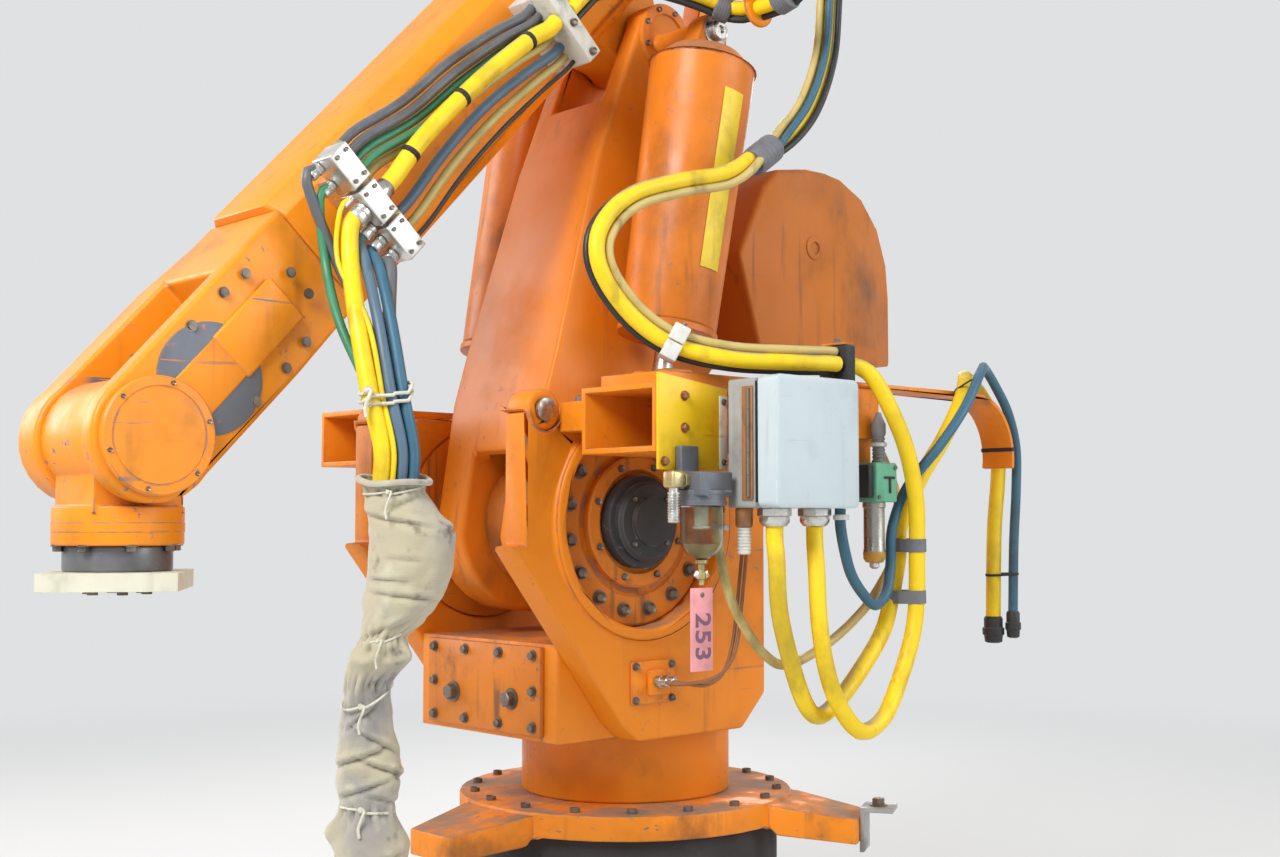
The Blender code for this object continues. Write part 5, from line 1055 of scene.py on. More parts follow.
# The coil is a real dark part; the slot and the groove are thin black slabs on the valve's face, painted
# shade for their recesses.
for name, low, high, edge in (
    ("valve_coil", (0.0083, 0.58, 0.94), (0.0215, 0.623, 0.995), 0.002),
    ("valve_slot_painted_shade", (-0.04, 0.6282, 0.972), (-0.012, 0.63, 0.976), 0.0006),
    ("valve_groove_painted_shade", (-0.03, 0.6282, 0.948), (-0.025, 0.63, 0.972), 0.0006),
):
    slab(name, low, high, edge, rubber)
bolts(
    (0.0034, True, False), "valve_screws", [(-0.042, 0.6281, 0.991), (0.002, 0.6281, 0.941)], NEAR,
    "turning_frame"
)
conduit_grey = worn_finish(
    "conduit_grey_plastic", (0.235, 0.245, 0.255), (0.12, 0.12, 0.12), 0.5, patch=20.0, wear=0.2, chips=0.2,
    dust=0.5, edge=0.0
)
ribs = [(0.012, 0.0), (0.012, 0.004)]
ribs += ribbed(7, 0.0062, ((0.0112, 0.005), (0.0098, 0.0062), (0.0098, 0.008), (0.0112, 0.0092)))
ribs += [(0.0125, 0.05), (0.0125, 0.066), (0.007, 0.078), (0.0045, 0.086)]
turned(
    "valve_conduit", ribs, (CONDUIT_X, VALVE_Y, 0.9992), UP, "turning_frame", conduit_grey,
    sides=24
)
white_nylon = worn_finish(
    "white_nylon", (0.64, 0.64, 0.6), (0.35, 0.33, 0.3), 0.42, patch=40.0, wear=0.2, chips=0.3, dust=0.2,
    edge=0.0
)
band = ((0.0128, 0.0), (0.014, 0.0006), (0.014, 0.0064), (0.0128, 0.007))
turned(
    "conduit_band", band, (CONDUIT_X, VALVE_Y, 1.027), UP, "turning_frame", white_nylon,
    sides=24
)
lubricator_metal = worn_finish(
    "lubricator_metal", (0.36, 0.35, 0.31), (0.2, 0.18, 0.15), 0.28, 0.8, patch=16.0, wear=0.4, chips=0.2,
    grime=0.6, dust=0.1, edge=0.0
)
amber = worn_finish(
    "amber_plastic", (0.48, 0.25, 0.03), (0.2, 0.1, 0.03), 0.3, patch=30.0, wear=0.1, chips=0.1, dust=0.1,
    edge=0.0
)
tube_steps = (
    (0.0195, 0.0), (0.0195, 0.008), (0.0178, 0.01), (0.0178, 0.078), (0.0185, 0.08), (0.0185, 0.084)
)
tube = turned(
    "lubricator_tube", tube_steps, (LUBRICATOR_X, VALVE_Y, 0.9327), DOWN, "turning_frame", lubricator_metal,
    sides=32
)
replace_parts(tube, "lubricator")
foot_steps = ((0.0186, 0.0), (0.019, 0.001), (0.0186, 0.01), (0.015, 0.0165), (0.009, 0.018))
turned(
    "lubricator_foot", foot_steps, (LUBRICATOR_X, VALVE_Y, 0.849), DOWN, "turning_frame", amber,
    sides=32
)
turned(
    "lubricator_nut", ((0.008, 0.0), (0.0088, 0.0006), (0.0088, 0.007), (0.004, 0.01)),
    (LUBRICATOR_X, VALVE_Y, 0.8312), DOWN, "turning_frame", silencer_steel, sides=6
)
collar_steps = ((0.013, 0.0), (0.014, 0.001), (0.014, 0.028), (0.012, 0.03), (0.01, 0.0302))
turned(
    "rear_fitting_head", collar_steps, (0.262, 0.5665, 0.9217), DOWN, "turning_frame", gasket,
    sides=24
)
ribs = [(0.01, 0.0)]
ribs += ribbed(8, 0.0052, ((0.0108, 0.001), (0.0108, 0.0034), (0.0094, 0.004), (0.0094, 0.0058)))
turned(
    "rear_fitting_ribs", ribs, (0.262, 0.5665, 0.8915), DOWN, "turning_frame", white_nylon,
    sides=24
)

# Cables and air hoses of the frame: two jacketed yellow cables out of the box's glands, a blue and a tan
# air hose, all hanging in one loop, strapped together, and held at the saddle and in the clip.
def routed(points, gap):
    """Places along a smooth curve through chosen points, about one gap apart."""
    points = [Vector(point) for point in points]
    padded = [2 * points[0] - points[1], *points, 2 * points[-1] - points[-2]]
    route = [points[0]]
    for before, start, end, after in zip(padded, padded[1:], padded[2:], padded[3:]):
        steps = max(1, round((end - start).length / gap))
        for step in range(1, steps + 1):
            share = step / steps
            pull = (end - before) * share + (2 * before - 5 * start + 4 * end - after) * share**2
            route.append(start + (pull + (3 * start - before - 3 * end + after) * share**3) / 2)
    return route


def jacket(name, colour, mark, dust=0.5, dust_colour=(0.27, 0.25, 0.21), dirt=0.5):
    """Plastic or rubber jacket: handling dirt, scuffs along the run, dust on top and a fine pebbled skin."""
    return worn_finish(
        name, colour, mark, 0.42, patch=7.0, wear=0.35, chips=0.3, grime=dirt, dust=dust,
        dust_colour=dust_colour, edge=0.0, grain=520.0, pebbles=0.1
    )


def hose(
    name, route, radius, body, finish, slot, frame_of=None, meshed=False, far_end="object",
    stiffness="medium", lay="hanging", with_pieces=()
):
    """A round hose on a route: a curve, or a mesh tube when meshed, riding on its body when one is given."""
    places = [frame_of @ place for place in route] if frame_of is not None else route
    data = bpy.data.curves.new(name, "CURVE")
    data.dimensions = "3D"
    data.bevel_depth = radius
    data.bevel_resolution = 4
    data.use_fill_caps = True
    line = data.splines.new("POLY")
    line.points.add(len(places) - 1)
    for point, place in zip(line.points, places):
        point.co = (*place, 1.0)
    line.use_smooth = True
    piece = bpy.data.objects.new(name, data)
    bpy.context.scene.collection.objects.link(piece)
    data.materials.append(finish)
    if meshed:
        alone(piece)
        bpy.ops.object.convert(target="MESH")
        piece = bpy.context.object
        bpy.ops.object.shade_smooth_by_angle(angle=math.radians(50.0))
    if body:
        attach(piece, body)
    return piece


yellow_jacket = jacket("yellow_jacket", (0.86, 0.6, 0.012), (0.4, 0.33, 0.12), dust=0.85, dirt=0.42)
blue_jacket = jacket(
    "blue_jacket", (0.04, 0.125, 0.19), (0.16, 0.2, 0.22), dust=0.8, dust_colour=(0.24, 0.26, 0.27)
)
tan_jacket = jacket("tan_jacket", (0.56, 0.43, 0.15), (0.4, 0.3, 0.12), dust=0.6, dirt=0.7)
SUPPLY_CABLE_ROUTE = (
    (0.228, 0.6, 0.8933), (0.228, 0.6, 0.87), (0.229, 0.605, 0.84), (0.229, 0.61, 0.763),
    (0.201, 0.606, 0.687), (0.161, 0.6, 0.615), (0.125, 0.597, 0.588), (0.083, 0.597, 0.602),
    (0.021, 0.595, 0.647), (-0.045, 0.595, 0.713), (-0.078, 0.59, 0.772), (-0.098, 0.59, 0.84),
    (-0.104, 0.59, 0.895), (-0.15, 0.6, 0.977), (-0.2, 0.612, 1.045), (-0.242, 0.616, 1.105),
    (-0.285, 0.6, 1.152), (-0.34, 0.562, 1.164), (-0.4, 0.545, 1.147), (-0.442, 0.543, 1.108),
    (-0.468, 0.543, 1.05), (-0.466, 0.543, 0.98), (-0.452, 0.543, 0.88), (-0.445, 0.543, 0.72),
)
LOOP_CABLE_ROUTE = (
    (0.132, 0.6, 0.8933), (0.132, 0.6, 0.87), (0.145, 0.615, 0.818), (0.15, 0.624, 0.742),
    (0.144, 0.634, 0.664), (0.115, 0.637, 0.604), (0.065, 0.638, 0.562), (0.003, 0.635, 0.579),
    (-0.048, 0.632, 0.644), (-0.082, 0.631, 0.711), (-0.094, 0.631, 0.771), (-0.096, 0.631, 0.854),
    (-0.094, 0.632, 0.935), (-0.068, 0.634, 1.018), (-0.026, 0.634, 1.086), (0.006, 0.622, 1.14),
    (0.026, 0.608, 1.158), (0.047, 0.602, 1.162),
)
BLUE_HOSE_ROUTE = (
    (0.094, 0.622, 0.9216), (0.094, 0.622, 0.895), (0.087, 0.624, 0.856), (0.068, 0.622, 0.815),
    (0.037, 0.62, 0.783), (0.001, 0.618, 0.762), (-0.036, 0.612, 0.781), (-0.058, 0.604, 0.826),
    (-0.064, 0.604, 0.89), (-0.104, 0.606, 0.96), (-0.155, 0.636, 1.03), (-0.215, 0.648, 1.1),
    (-0.28, 0.637, 1.168), (-0.345, 0.6, 1.18), (-0.41, 0.579, 1.152), (-0.455, 0.575, 1.105),
    (-0.481, 0.574, 1.04), (-0.48, 0.574, 0.96), (-0.47, 0.574, 0.86), (-0.464, 0.574, 0.73),
)
TAN_HOSE_ROUTE = (
    (0.2815, 0.53, 0.9147), (0.281, 0.531, 0.858), (0.27, 0.538, 0.792), (0.247, 0.545, 0.742),
    (0.203, 0.553, 0.689), (0.151, 0.557, 0.669), (0.053, 0.557, 0.697), (-0.041, 0.554, 0.746),
    (-0.096, 0.552, 0.791), (-0.14, 0.55, 0.842), (-0.156, 0.548, 0.89), (-0.158, 0.54, 0.95),
    (-0.135, 0.525, 1.02), (-0.1, 0.516, 1.062), (-0.0565, 0.515, 1.065),
)
connector_black = worn_finish(
    "connector_black", (0.03, 0.03, 0.032), (0.2, 0.2, 0.2), 0.45, patch=24.0, wear=0.3, chips=0.2,
    dust=0.4, edge=0.0
)
ends = []
for name, low, width in (
    ("supply_cable", (-0.445, 0.543, 0.722), 0.0175), ("blue_hose", (-0.464, 0.574, 0.732), 0.0125)
):
    shell_shares = (
        (0.85, 0.0), (1.0, 0.004), (1.0, 0.02), (1.16, 0.022), (1.16, 0.034), (1.0, 0.036), (0.92, 0.048),
        (0.6, 0.05)
    )
    shell_steps = sized(width, shell_shares)
    ends.append(
        turned(
            f"{name}_connector", shell_steps, low, DOWN, "turning_frame", connector_black,
            sides=20
        )
    )
cut = {"far_end": "connector"}
for name, route, radius, finish, slot, far in (
    (
        "supply_cable", SUPPLY_CABLE_ROUTE, 0.014, yellow_jacket, "yellow_jacket",
        {**cut, "with_pieces": ends[:1]}
    ),
    ("loop_cable", LOOP_CABLE_ROUTE, 0.014, yellow_jacket, "yellow_jacket", {}),
    ("blue_hose", BLUE_HOSE_ROUTE, 0.009, blue_jacket, "blue_jacket", {**cut, "with_pieces": ends[1:]}),
    ("tan_hose", TAN_HOSE_ROUTE, 0.008, tan_jacket, "tan_jacket", {}),
):
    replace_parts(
        hose(f"{name}_form", routed(route, 0.01), radius, "turning_frame", finish, slot, **far), name
    )
fitting = ((0.0098, 0.0), (0.0108, 0.001), (0.0108, 0.01), (0.0092, 0.011), (0.0092, 0.02), (0.0086, 0.021))
turned(
    "tan_hose_fitting", fitting, (0.2815, 0.53, 0.924), DOWN, "turning_frame", brass,
    sides=12
)
for name, radius, outer, width, clamp_place, low, high in (
    ("tan", 0.0085, 0.0106, 0.008, (0.2815, 0.53, 0.896), (0.276, 0.54, 0.8875), (0.287, 0.548, 0.8955)),
    ("blue", 0.0095, 0.0118, 0.009, (0.094, 0.622, 0.912), (0.079, 0.618, 0.9032), (0.0838, 0.629, 0.9118)),
):
    clamp = ((radius, 0.0), (outer, 0.0006), (outer, width - 0.0006), (radius, width))
    turned(
        f"{name}_hose_clamp", clamp, clamp_place, DOWN, "turning_frame", white_nylon, sides=24
    )
    slab(f"{name}_hose_clamp_ear", low, high, 0.0012, white_nylon)
strap_grey = worn_finish(
    "strap_grey_tape", (0.155, 0.16, 0.175), (0.3, 0.3, 0.3), 0.5, patch=24.0, wear=0.4, chips=0.3,
    grime=0.4, dust=0.5, edge=0.0
)


def strapped(name, runs, along, width, body, finish, thickness=0.0012):
    """A tape or a tie pulled tight round several runs: the hull of their sections, open at both ends."""
    first = Vector(runs[0][0])
    turn = pointing(along)
    sections = []
    for centre, radius in runs:
        beside_first = turn.inverted() @ (Vector(centre) - first)
        bpy.ops.mesh.primitive_cylinder_add(
            vertices=28, radius=radius, depth=width, location=(beside_first.x, beside_first.y, 0.0)
        )
        sections.append(bpy.context.object)
    band = joined(sections)
    bpy.ops.object.transform_apply(location=True, rotation=True, scale=True)
    editing()
    bpy.ops.mesh.select_mode(type="FACE")
    bpy.ops.mesh.convex_hull()
    bpy.ops.mesh.select_all(action="DESELECT")
    hull = bmesh.from_edit_mesh(band.data)
    for face in hull.faces:
        face.select_set(abs(face.normal.z) > 0.9)
    bmesh.update_edit_mesh(band.data)
    bpy.ops.mesh.delete(type="ONLY_FACE")
    edited()
    walled(band, thickness)
    return fitted(band, name, body, finish, moved(*first) @ turn, 50.0)


LOOP_STRAPS = (
    (((-0.096, 0.631, 0.86), 0.0144), ((-0.1005, 0.59, 0.86), 0.0144)),
    (((-0.094, 0.631, 0.773), 0.0144), ((-0.0785, 0.59, 0.773), 0.0144)),
)
for number, runs in enumerate(LOOP_STRAPS):
    strapped(
        f"loop_strap_{number + 1}", runs, (0.03, 0.0, 1.0), 0.022, "turning_frame", strap_grey,
        0.0016
    )
hump_runs = (((-0.2635, 0.608, 1.1285), 0.0142), ((-0.241, 0.6436, 1.127), 0.0092))
strapped("hump_tie", hump_runs, (-0.65, -0.25, 0.71), 0.0045, "turning_frame", rubber)
drop_runs = (((-0.448, 0.543, 0.8), 0.0142), ((-0.4665, 0.574, 0.8), 0.0092))
strapped("drop_tie", drop_runs, (0.08, 0.0, 1.0), 0.0045, "turning_frame", rubber)
wire_jacket = jacket("wire_jacket", (0.3, 0.13, 0.05), (0.15, 0.1, 0.08))
for number, shift in enumerate((0.0, 0.011)):
    wire_route = (
        (0.156 + shift * 1.6, 0.297, 0.622), (0.14 + shift, 0.315, 0.619),
        (0.105, 0.325 + shift, 0.615 + shift), (0.06, 0.322 + shift, 0.632 + shift),
        (0.028, 0.315 + shift, 0.68), (0.012, 0.312 + shift, 0.75), (0.004, 0.318 + shift, 0.85),
        (0.002, 0.33 + shift, 0.94), (0.002, 0.334 + shift, 1.012)
    )
    hose(
        f"cheek_wire_{number + 1}", routed(wire_route, 0.008), 0.0034, "turning_frame", wire_jacket,
        "black_rubber", stiffness="limp"
    )

# Harness: a yellow cable, two air hoses and a black lead taped in one bundle from the clip, up round the
# lower arm in a free loop to the ring on the elbow's axis.
HARNESS_ROUTE = (
    (0.078, 0.596, 1.164), (0.1, 0.594, 1.164), (0.159, 0.58, 1.162), (0.255, 0.53, 1.165),
    (0.331, 0.48, 1.185), (0.38, 0.447, 1.222), (0.425, 0.43, 1.275), (0.445, 0.425, 1.323),
    (0.432, 0.425, 1.37), (0.374, 0.425, 1.42), (0.273, 0.425, 1.456), (0.141, 0.42, 1.494),
    (0.033, 0.416, 1.559), (-0.064, 0.413, 1.641), (-0.123, 0.41, 1.753), (-0.139, 0.41, 1.869),
    (-0.128, 0.425, 1.95), (-0.085, 0.462, 2.005), (-0.032, 0.503, 1.996), (-0.003, 0.515, 1.935),
    (0.005, 0.49, 1.872), (0.0067, 0.44, 1.838), (0.0067, 0.4, 1.8325), (0.0067, 0.3726, 1.8325),
)


def beside(route, aside, above, twist=0.0):
    """A strand's places beside a bundle's centre line, turned round it by the twist at the first tape."""
    strand = []
    up = Vector((0.0, 0.0, 1.0))
    for number, place in enumerate(route):
        along = (route[min(number + 1, len(route) - 1)] - route[max(number - 1, 0)]).normalized()
        up = (up - along * up.dot(along)).normalized()
        across = along.cross(up)
        share = min(1.0, max(0.0, (number / len(route) - 0.44) / 0.15))
        turn = math.radians(twist) * share * share * (3.0 - 2.0 * share)
        one = aside * math.cos(turn) - above * math.sin(turn)
        two = aside * math.sin(turn) + above * math.cos(turn)
        strand.append(place + across * one + up * two)
    return strand


black_jacket = jacket("black_jacket", (0.028, 0.028, 0.03), (0.14, 0.14, 0.14), dust=0.7)
harness_line = routed(HARNESS_ROUTE, 0.011)
harness_ends = {"start": (0.15, 0.5, 1.17), "end": (0.05, 0.42, 1.8)}
strands = []
for name, radius, aside, above, finish, slot in (
    ("harness_cable", 0.0135, -0.008, -0.004, yellow_jacket, "yellow_jacket"),
    ("harness_tan_hose", 0.0075, -0.004, 0.0168, tan_jacket, "tan_jacket"),
    ("harness_blue_hose", 0.007, 0.01, 0.006, blue_jacket, "blue_jacket"),
    ("harness_lead", 0.0062, 0.008, -0.0168, black_jacket, "black_rubber"),
):
    strand = hose(name, beside(harness_line, aside, above, 165.0), radius, None, finish, slot, meshed=True)
    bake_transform(strand)
    strands.append(strand)
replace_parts(strands[0], "harness")


def wrapping(name, line, share, half_length, radius, finish, body="turning_frame", ends=None):
    """Tape or a tie wound round a bundle: a short sleeve on its line, in five turns with worn edges."""
    at = round(share * (len(line) - 1))
    along = (line[min(at + 1, len(line) - 1)] - line[max(at - 1, 0)]).normalized()
    lap = half_length * 0.12
    steps = [(radius * 0.86, -half_length), (radius * 0.97, -half_length + lap)]
    for turn in range(1, 6):
        middle = half_length * (turn / 3.0 - 1.0)
        steps += [(radius, middle - lap * 0.5), (radius * 0.965, middle), (radius, middle + lap * 0.4)]
    steps += [(radius * 0.97, half_length - lap), (radius * 0.86, half_length)]
    piece = turned(name, steps, line[at], along, None if ends else body, finish, sides=20)
    if ends:
        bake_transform(piece)
    return piece


wrapping(
    "harness_tape_low", harness_line, 0.515, 0.034, 0.0262, strap_grey, ends=harness_ends
)
wrapping(
    "harness_tape_high", harness_line, 0.8, 0.022, 0.0258, strap_grey, ends=harness_ends
)
wrapping(
    "harness_tape_end", harness_line, 0.972, 0.018, 0.0258, strap_grey, body="lower_arm"
)
clip_turn = moved(0.331, 0.48, 1.185) @ pointing((0.62, -0.52, 0.42))
for name, low, high in (
    ("harness_block_lower", (-0.029, -0.029, -0.014), (0.029, -0.001, 0.014)),
    ("harness_block_upper", (-0.029, 0.001, -0.014), (0.029, 0.029, 0.014))
):
    slab(name, low, high, 0.0022, white_nylon, "turning_frame", clip_turn)
harness_bolts = [clip_turn @ Vector((side * 0.0225, 0.029, 0.0)) for side in (-1, 1)]
bolts(
    (0.0042, True), "harness_block_screws", harness_bolts, clip_turn.to_3x3() @ Vector((0.0, 1.0, 0.0)),
    "turning_frame"
)

# Elbow leads: the same bundle on the upper arm's side, from the ring on the elbow's axis down to the rear
# clamp on the arm's flank. It turns with the upper arm.
ELBOW_CABLE_ROUTE = (
    (0.0067, 0.3594, 1.8325), (0.0067, 0.335, 1.8325), (0.022, 0.3, 1.842), (0.075, 0.276, 1.858),
    (0.15, 0.252, 1.868), (0.216, 0.224, 1.868), (0.2645, 0.205, 1.8483), (0.2972, 0.201, 1.8163),
    (0.3204, 0.201, 1.7915),
)
elbow_line = routed(ELBOW_CABLE_ROUTE, 0.01)
strands = []
for name, radius, aside, above, finish, slot in (
    ("elbow_yellow", 0.0135, -0.0085, 0.004, yellow_jacket, "yellow_jacket"),
    ("elbow_tan_hose", 0.0075, 0.0125, 0.0085, tan_jacket, "tan_jacket"),
    ("elbow_blue_hose", 0.007, 0.009, -0.008, blue_jacket, "blue_jacket"),
    ("elbow_lead", 0.0062, -0.005, -0.0165, black_jacket, "black_rubber"),
):
    strands.append(
        hose(name, beside(elbow_line, aside, above), radius, "upper_arm", finish, slot, lay="taut")
    )
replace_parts(strands[0], "elbow_cable")
wrapping("elbow_tape", elbow_line, 0.16, 0.016, 0.0258, strap_grey, body="upper_arm")

# Hose pack: air hoses, one big yellow cable and leads laid along the upper arm's flank, from the rear clamp
# to the aluminium manifold, each screwed in with a crimped fitting.
manifold_metal = worn_finish(
    "manifold_aluminium", (0.64, 0.635, 0.61), (0.35, 0.33, 0.3), 0.32, 0.85, patch=16.0, chips=0.4,
    dust=0.4, edge=0.003
)
clamp_pale = worn_finish(
    "clamp_pale_plastic", (0.6, 0.585, 0.52), (0.35, 0.33, 0.28), 0.48, patch=14.0, wear=0.4, chips=0.4,
    grime=0.6, dust=0.5, edge=0.003
)
casting("manifold", manifold_metal, 0.0022, 3)
casting("rear_clamp", clamp_pale, 0.004, 3)
clamp_screws = [(0.262, 0.2202, high) for high in (0.128, 0.189, 0.25)]
bolts((0.006, True), "rear_clamp_screws", clamp_screws, NEAR, "upper_arm", ARM)
block_screws = [
    (along, 0.2202, high) for along in (0.792, 0.814) for high in (0.132, 0.178, 0.204, 0.248, 0.274, 0.32)
]
bolts((0.0036, True, False), "manifold_screws", block_screws, NEAR, "upper_arm", ARM)
grey_jacket = jacket("grey_jacket", (0.115, 0.12, 0.13), (0.25, 0.25, 0.26), dust=0.7)
green_jacket = jacket(
    "green_jacket", (0.05, 0.23, 0.12), (0.18, 0.26, 0.2), dust=0.75, dust_colour=(0.22, 0.24, 0.2)
)
slate_jacket = jacket(
    "slate_jacket", (0.09, 0.15, 0.21), (0.22, 0.25, 0.28), dust=0.75, dust_colour=(0.24, 0.26, 0.27)
)
pack = (
    ("pack_grey_1", 0.0085, 0.246, 0.288, 0.3175, 0.17, grey_jacket, "black_rubber"),
    ("pack_grey_2", 0.0085, 0.229, 0.269, 0.2995, 0.174, grey_jacket, "black_rubber"),
    ("pack_green_1", 0.0072, 0.213, 0.251, 0.2835, 0.17, green_jacket, "black_rubber"),
    ("pack_green_2", 0.0072, 0.198, 0.235, 0.2685, 0.174, green_jacket, "black_rubber"),
    ("pack_tan", 0.0074, 0.183, 0.219, 0.2515, 0.166, tan_jacket, "tan_jacket"),
    ("pack_slate", 0.009, 0.163, 0.193, 0.176, 0.176, slate_jacket, "blue_jacket"),
    ("pack_tan_low", 0.008, 0.142, 0.166, 0.148, 0.17, tan_jacket, "tan_jacket"),
    ("pack_thin_lead", 0.004, 0.128, 0.146, 0.129, 0.182, black_jacket, "black_rubber"),
)
pack_hoses = []
for name, radius, rear, middle, front, out, finish, slot in pack:
    pack_route = (
        (0.2792, out, rear), (0.305, out, rear), (0.38, out + 0.003, rear + 0.45 * (middle - rear)),
        (0.5, out + 0.006, middle - 0.002), (0.62, out + 0.004, middle + 0.25 * (front - middle)),
        (0.72, out, front + 0.05 * (middle - front)), (0.757, out, front), (0.7828, out, front)
    )
    pack_hoses.append(
        hose(name, routed(pack_route, 0.012), radius, "upper_arm", finish, slot, ARM, lay="taut")
    )
    nut_steps = sized(
        radius, ((1.06, 0.0), (1.22, 0.001), (1.22, 0.01), (1.1, 0.011), (1.1, 0.02), (1.02, 0.0215))
    )
    turned(
        f"{name}_fitting", nut_steps, (0.7828, out, front), (-1, 0, 0), "upper_arm", brass,
        ARM, sides=12
    )
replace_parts(pack_hoses[0], "pack_hoses")
PACK_CABLE_ROUTE = (
    (0.2794, 0.203, 0.208), (0.305, 0.203, 0.208), (0.36, 0.208, 0.222), (0.5, 0.212, 0.238),
    (0.65, 0.206, 0.24), (0.74, 0.1985, 0.228), (0.7815, 0.198, 0.227),
)
pack_cable = hose(
    "pack_cable_form", routed(PACK_CABLE_ROUTE, 0.012), 0.015, "upper_arm", yellow_jacket, "yellow_jacket",
    ARM, lay="taut"
)
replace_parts(pack_cable, "pack_cable")
gland_steps = (
    (0.0165, 0.0), (0.018, 0.001), (0.018, 0.012), (0.0168, 0.014), (0.0168, 0.02), (0.0156, 0.022)
)
turned(
    "pack_cable_gland", gland_steps, (0.7826, 0.198, 0.227), (-1, 0, 0), "upper_arm", steel_shine,
    ARM, sides=12
)
for number, along in enumerate((0.36, 0.55, 0.69)):
    at = min(
        range(len(pack_cable.data.splines[0].points)),
        key=lambda index: abs(
            (ARM.inverted() @ pack_cable.data.splines[0].points[index].co.to_3d()).x - along
        )
    )
    line = [point.co.to_3d() for point in pack_cable.data.splines[0].points]
    wrapping(
        f"pack_cable_tie_{number + 1}", line, at / (len(line) - 1), 0.005, 0.0166, rubber,
        body="upper_arm"
    )

# Hanging hoses: from crimped fittings under the manifold the hoses and the yellow cable drop in one loose
# bundle, tied once with white cord, into the canvas sleeve.
HANGING_HOSES_RINGS = (
    (0.733, 0.195, 1.3841, 0.06, 0.024), (0.745, 0.206, 1.3, 0.042, 0.046),
    (0.756, 0.262, 1.2, 0.034, 0.052),
    (0.752, 0.298, 1.085, 0.034, 0.04), (0.742, 0.309, 1.01, 0.04, 0.042),
    (0.744, 0.31, 0.964, 0.04, 0.042),
)
hanging = (
    (
        "drop_grey_1", 0.0085, 0.3175, 0.176, ((0.59, -0.72), (0.02, -0.38), (-0.12, -0.28), (-0.05, -0.3)),
        grey_jacket, "black_rubber"
    ),
    (
        "drop_green", 0.0075, 0.2835, 0.174, ((1.12, -0.83), (1.25, -0.76), (0.41, -0.65), (0.45, -0.55)),
        green_jacket, "black_rubber"
    ),
    (
        "drop_cable", 0.014, 0.227, 0.198, ((0.47, 0.02), (0.91, -0.02), (0.99, -0.04), (0.75, 0.0)),
        yellow_jacket, "yellow_jacket"
    ),
    (
        "drop_slate_1", 0.009, 0.195, 0.186, ((-0.16, 0.22), (-0.05, 0.29), (0.1, 0.43), (0.05, 0.42)),
        slate_jacket, "blue_jacket"
    ),
    (
        "drop_blue", 0.009, 0.17, 0.186, ((-0.65, 0.4), (-0.76, 0.39), (-0.58, 0.54), (-0.48, 0.55)),
        blue_jacket, "blue_jacket"
    ),
    (
        "drop_grey_2", 0.0105, 0.14, 0.186, ((-1.2, 0.49), (-1.06, -0.02), (-0.75, 0.0), (-0.65, -0.1)),
        grey_jacket, "black_rubber"
    ),
    (
        "drop_thin", 0.004, 0.255, 0.2, ((0.93, -0.2), (0.63, 0.32), (0.54, 0.32), (0.5, 0.45)),
        yellow_jacket, "yellow_jacket"
    ),
)
drops, bundle = [], []
for name, radius, high, out, spread, finish, slot in hanging:
    start = ARM @ Vector((0.824, out, high))
    onward = ARM @ Vector((0.856, out, high))
    drop_route = [start, onward]
    for (across, aside, up, deep, wide), (one, two) in zip(HANGING_HOSES_RINGS[1:], spread + (spread[-1],)):
        drop_route.append(Vector((across + deep * one * 0.86, aside + wide * two * 0.86, up)))
    drop_route[-1] = drop_route[-1] + Vector((0.0, 0.0, -0.01))
    bundle_line = routed(drop_route, 0.01)
    drop = hose(name, bundle_line, radius, None, finish, slot, meshed=True)
    drops.append(drop)
    bundle.append((bundle_line, radius))
    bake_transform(drop)
    crimp_steps = sized(
        radius,
        (
            (1.02, 0.0), (1.26, 0.001), (1.26, 0.008), (1.14, 0.009), (1.2, 0.012), (1.14, 0.015),
            (1.2, 0.018), (1.14, 0.021), (1.04, 0.023)
        )
    )
    turned(
        f"{name}_crimp", crimp_steps, (0.8236, out, high), FORWARD, "upper_arm", silencer_steel,
        ARM, sides=14
    )
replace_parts(drops[0], "hanging_hoses")

# Canvas sleeve: heavy cotton duck sewn into a tube over the hoses, gathered by white cord under its rim,
# knotted where it narrows, and creased by years of bending.
SLEEVE_RINGS = (
    (0.7474, 0.31, 0.9625, 0.046, 0.048), (0.746, 0.31, 0.947, 0.0415, 0.043),
    (0.733, 0.311, 0.918, 0.0525, 0.055),
    (0.715, 0.312, 0.8837, 0.062, 0.065), (0.717, 0.309, 0.8284, 0.061, 0.064),
    (0.726, 0.303, 0.7838, 0.055, 0.058),
    (0.739, 0.298, 0.755, 0.044, 0.047), (0.754, 0.294, 0.731, 0.029, 0.031),
    (0.7505, 0.282, 0.696, 0.041, 0.044),
    (0.761, 0.265, 0.662, 0.03, 0.032), (0.75, 0.248, 0.625, 0.035, 0.037),
    (0.744, 0.239, 0.591, 0.039, 0.041),
    (0.7351, 0.2316, 0.5401, 0.045, 0.047), (0.7325, 0.2277, 0.5124, 0.0465, 0.048),
    (0.7337, 0.2257, 0.4644, 0.038, 0.04),
    (0.726, 0.2252, 0.4109, 0.054, 0.056), (0.7243, 0.2238, 0.3581, 0.051, 0.053),
    (0.7222, 0.222, 0.306, 0.047, 0.049),
)
canvas, canvas_tree, canvas_shader, canvas_place, canvas_steps = shading("dusty_canvas")
cloud, between, sums, painted, relief = canvas_steps
canvas_shader.inputs["Sheen Weight"].default_value = 0.35
canvas_shader.inputs["Sheen Roughness"].default_value = 0.6
canvas_shader.inputs["Roughness"].default_value = 0.92
canvas_shader.inputs["Specular IOR Level"].default_value = 0.2
cloth_colour = (0.47, 0.42, 0.29)
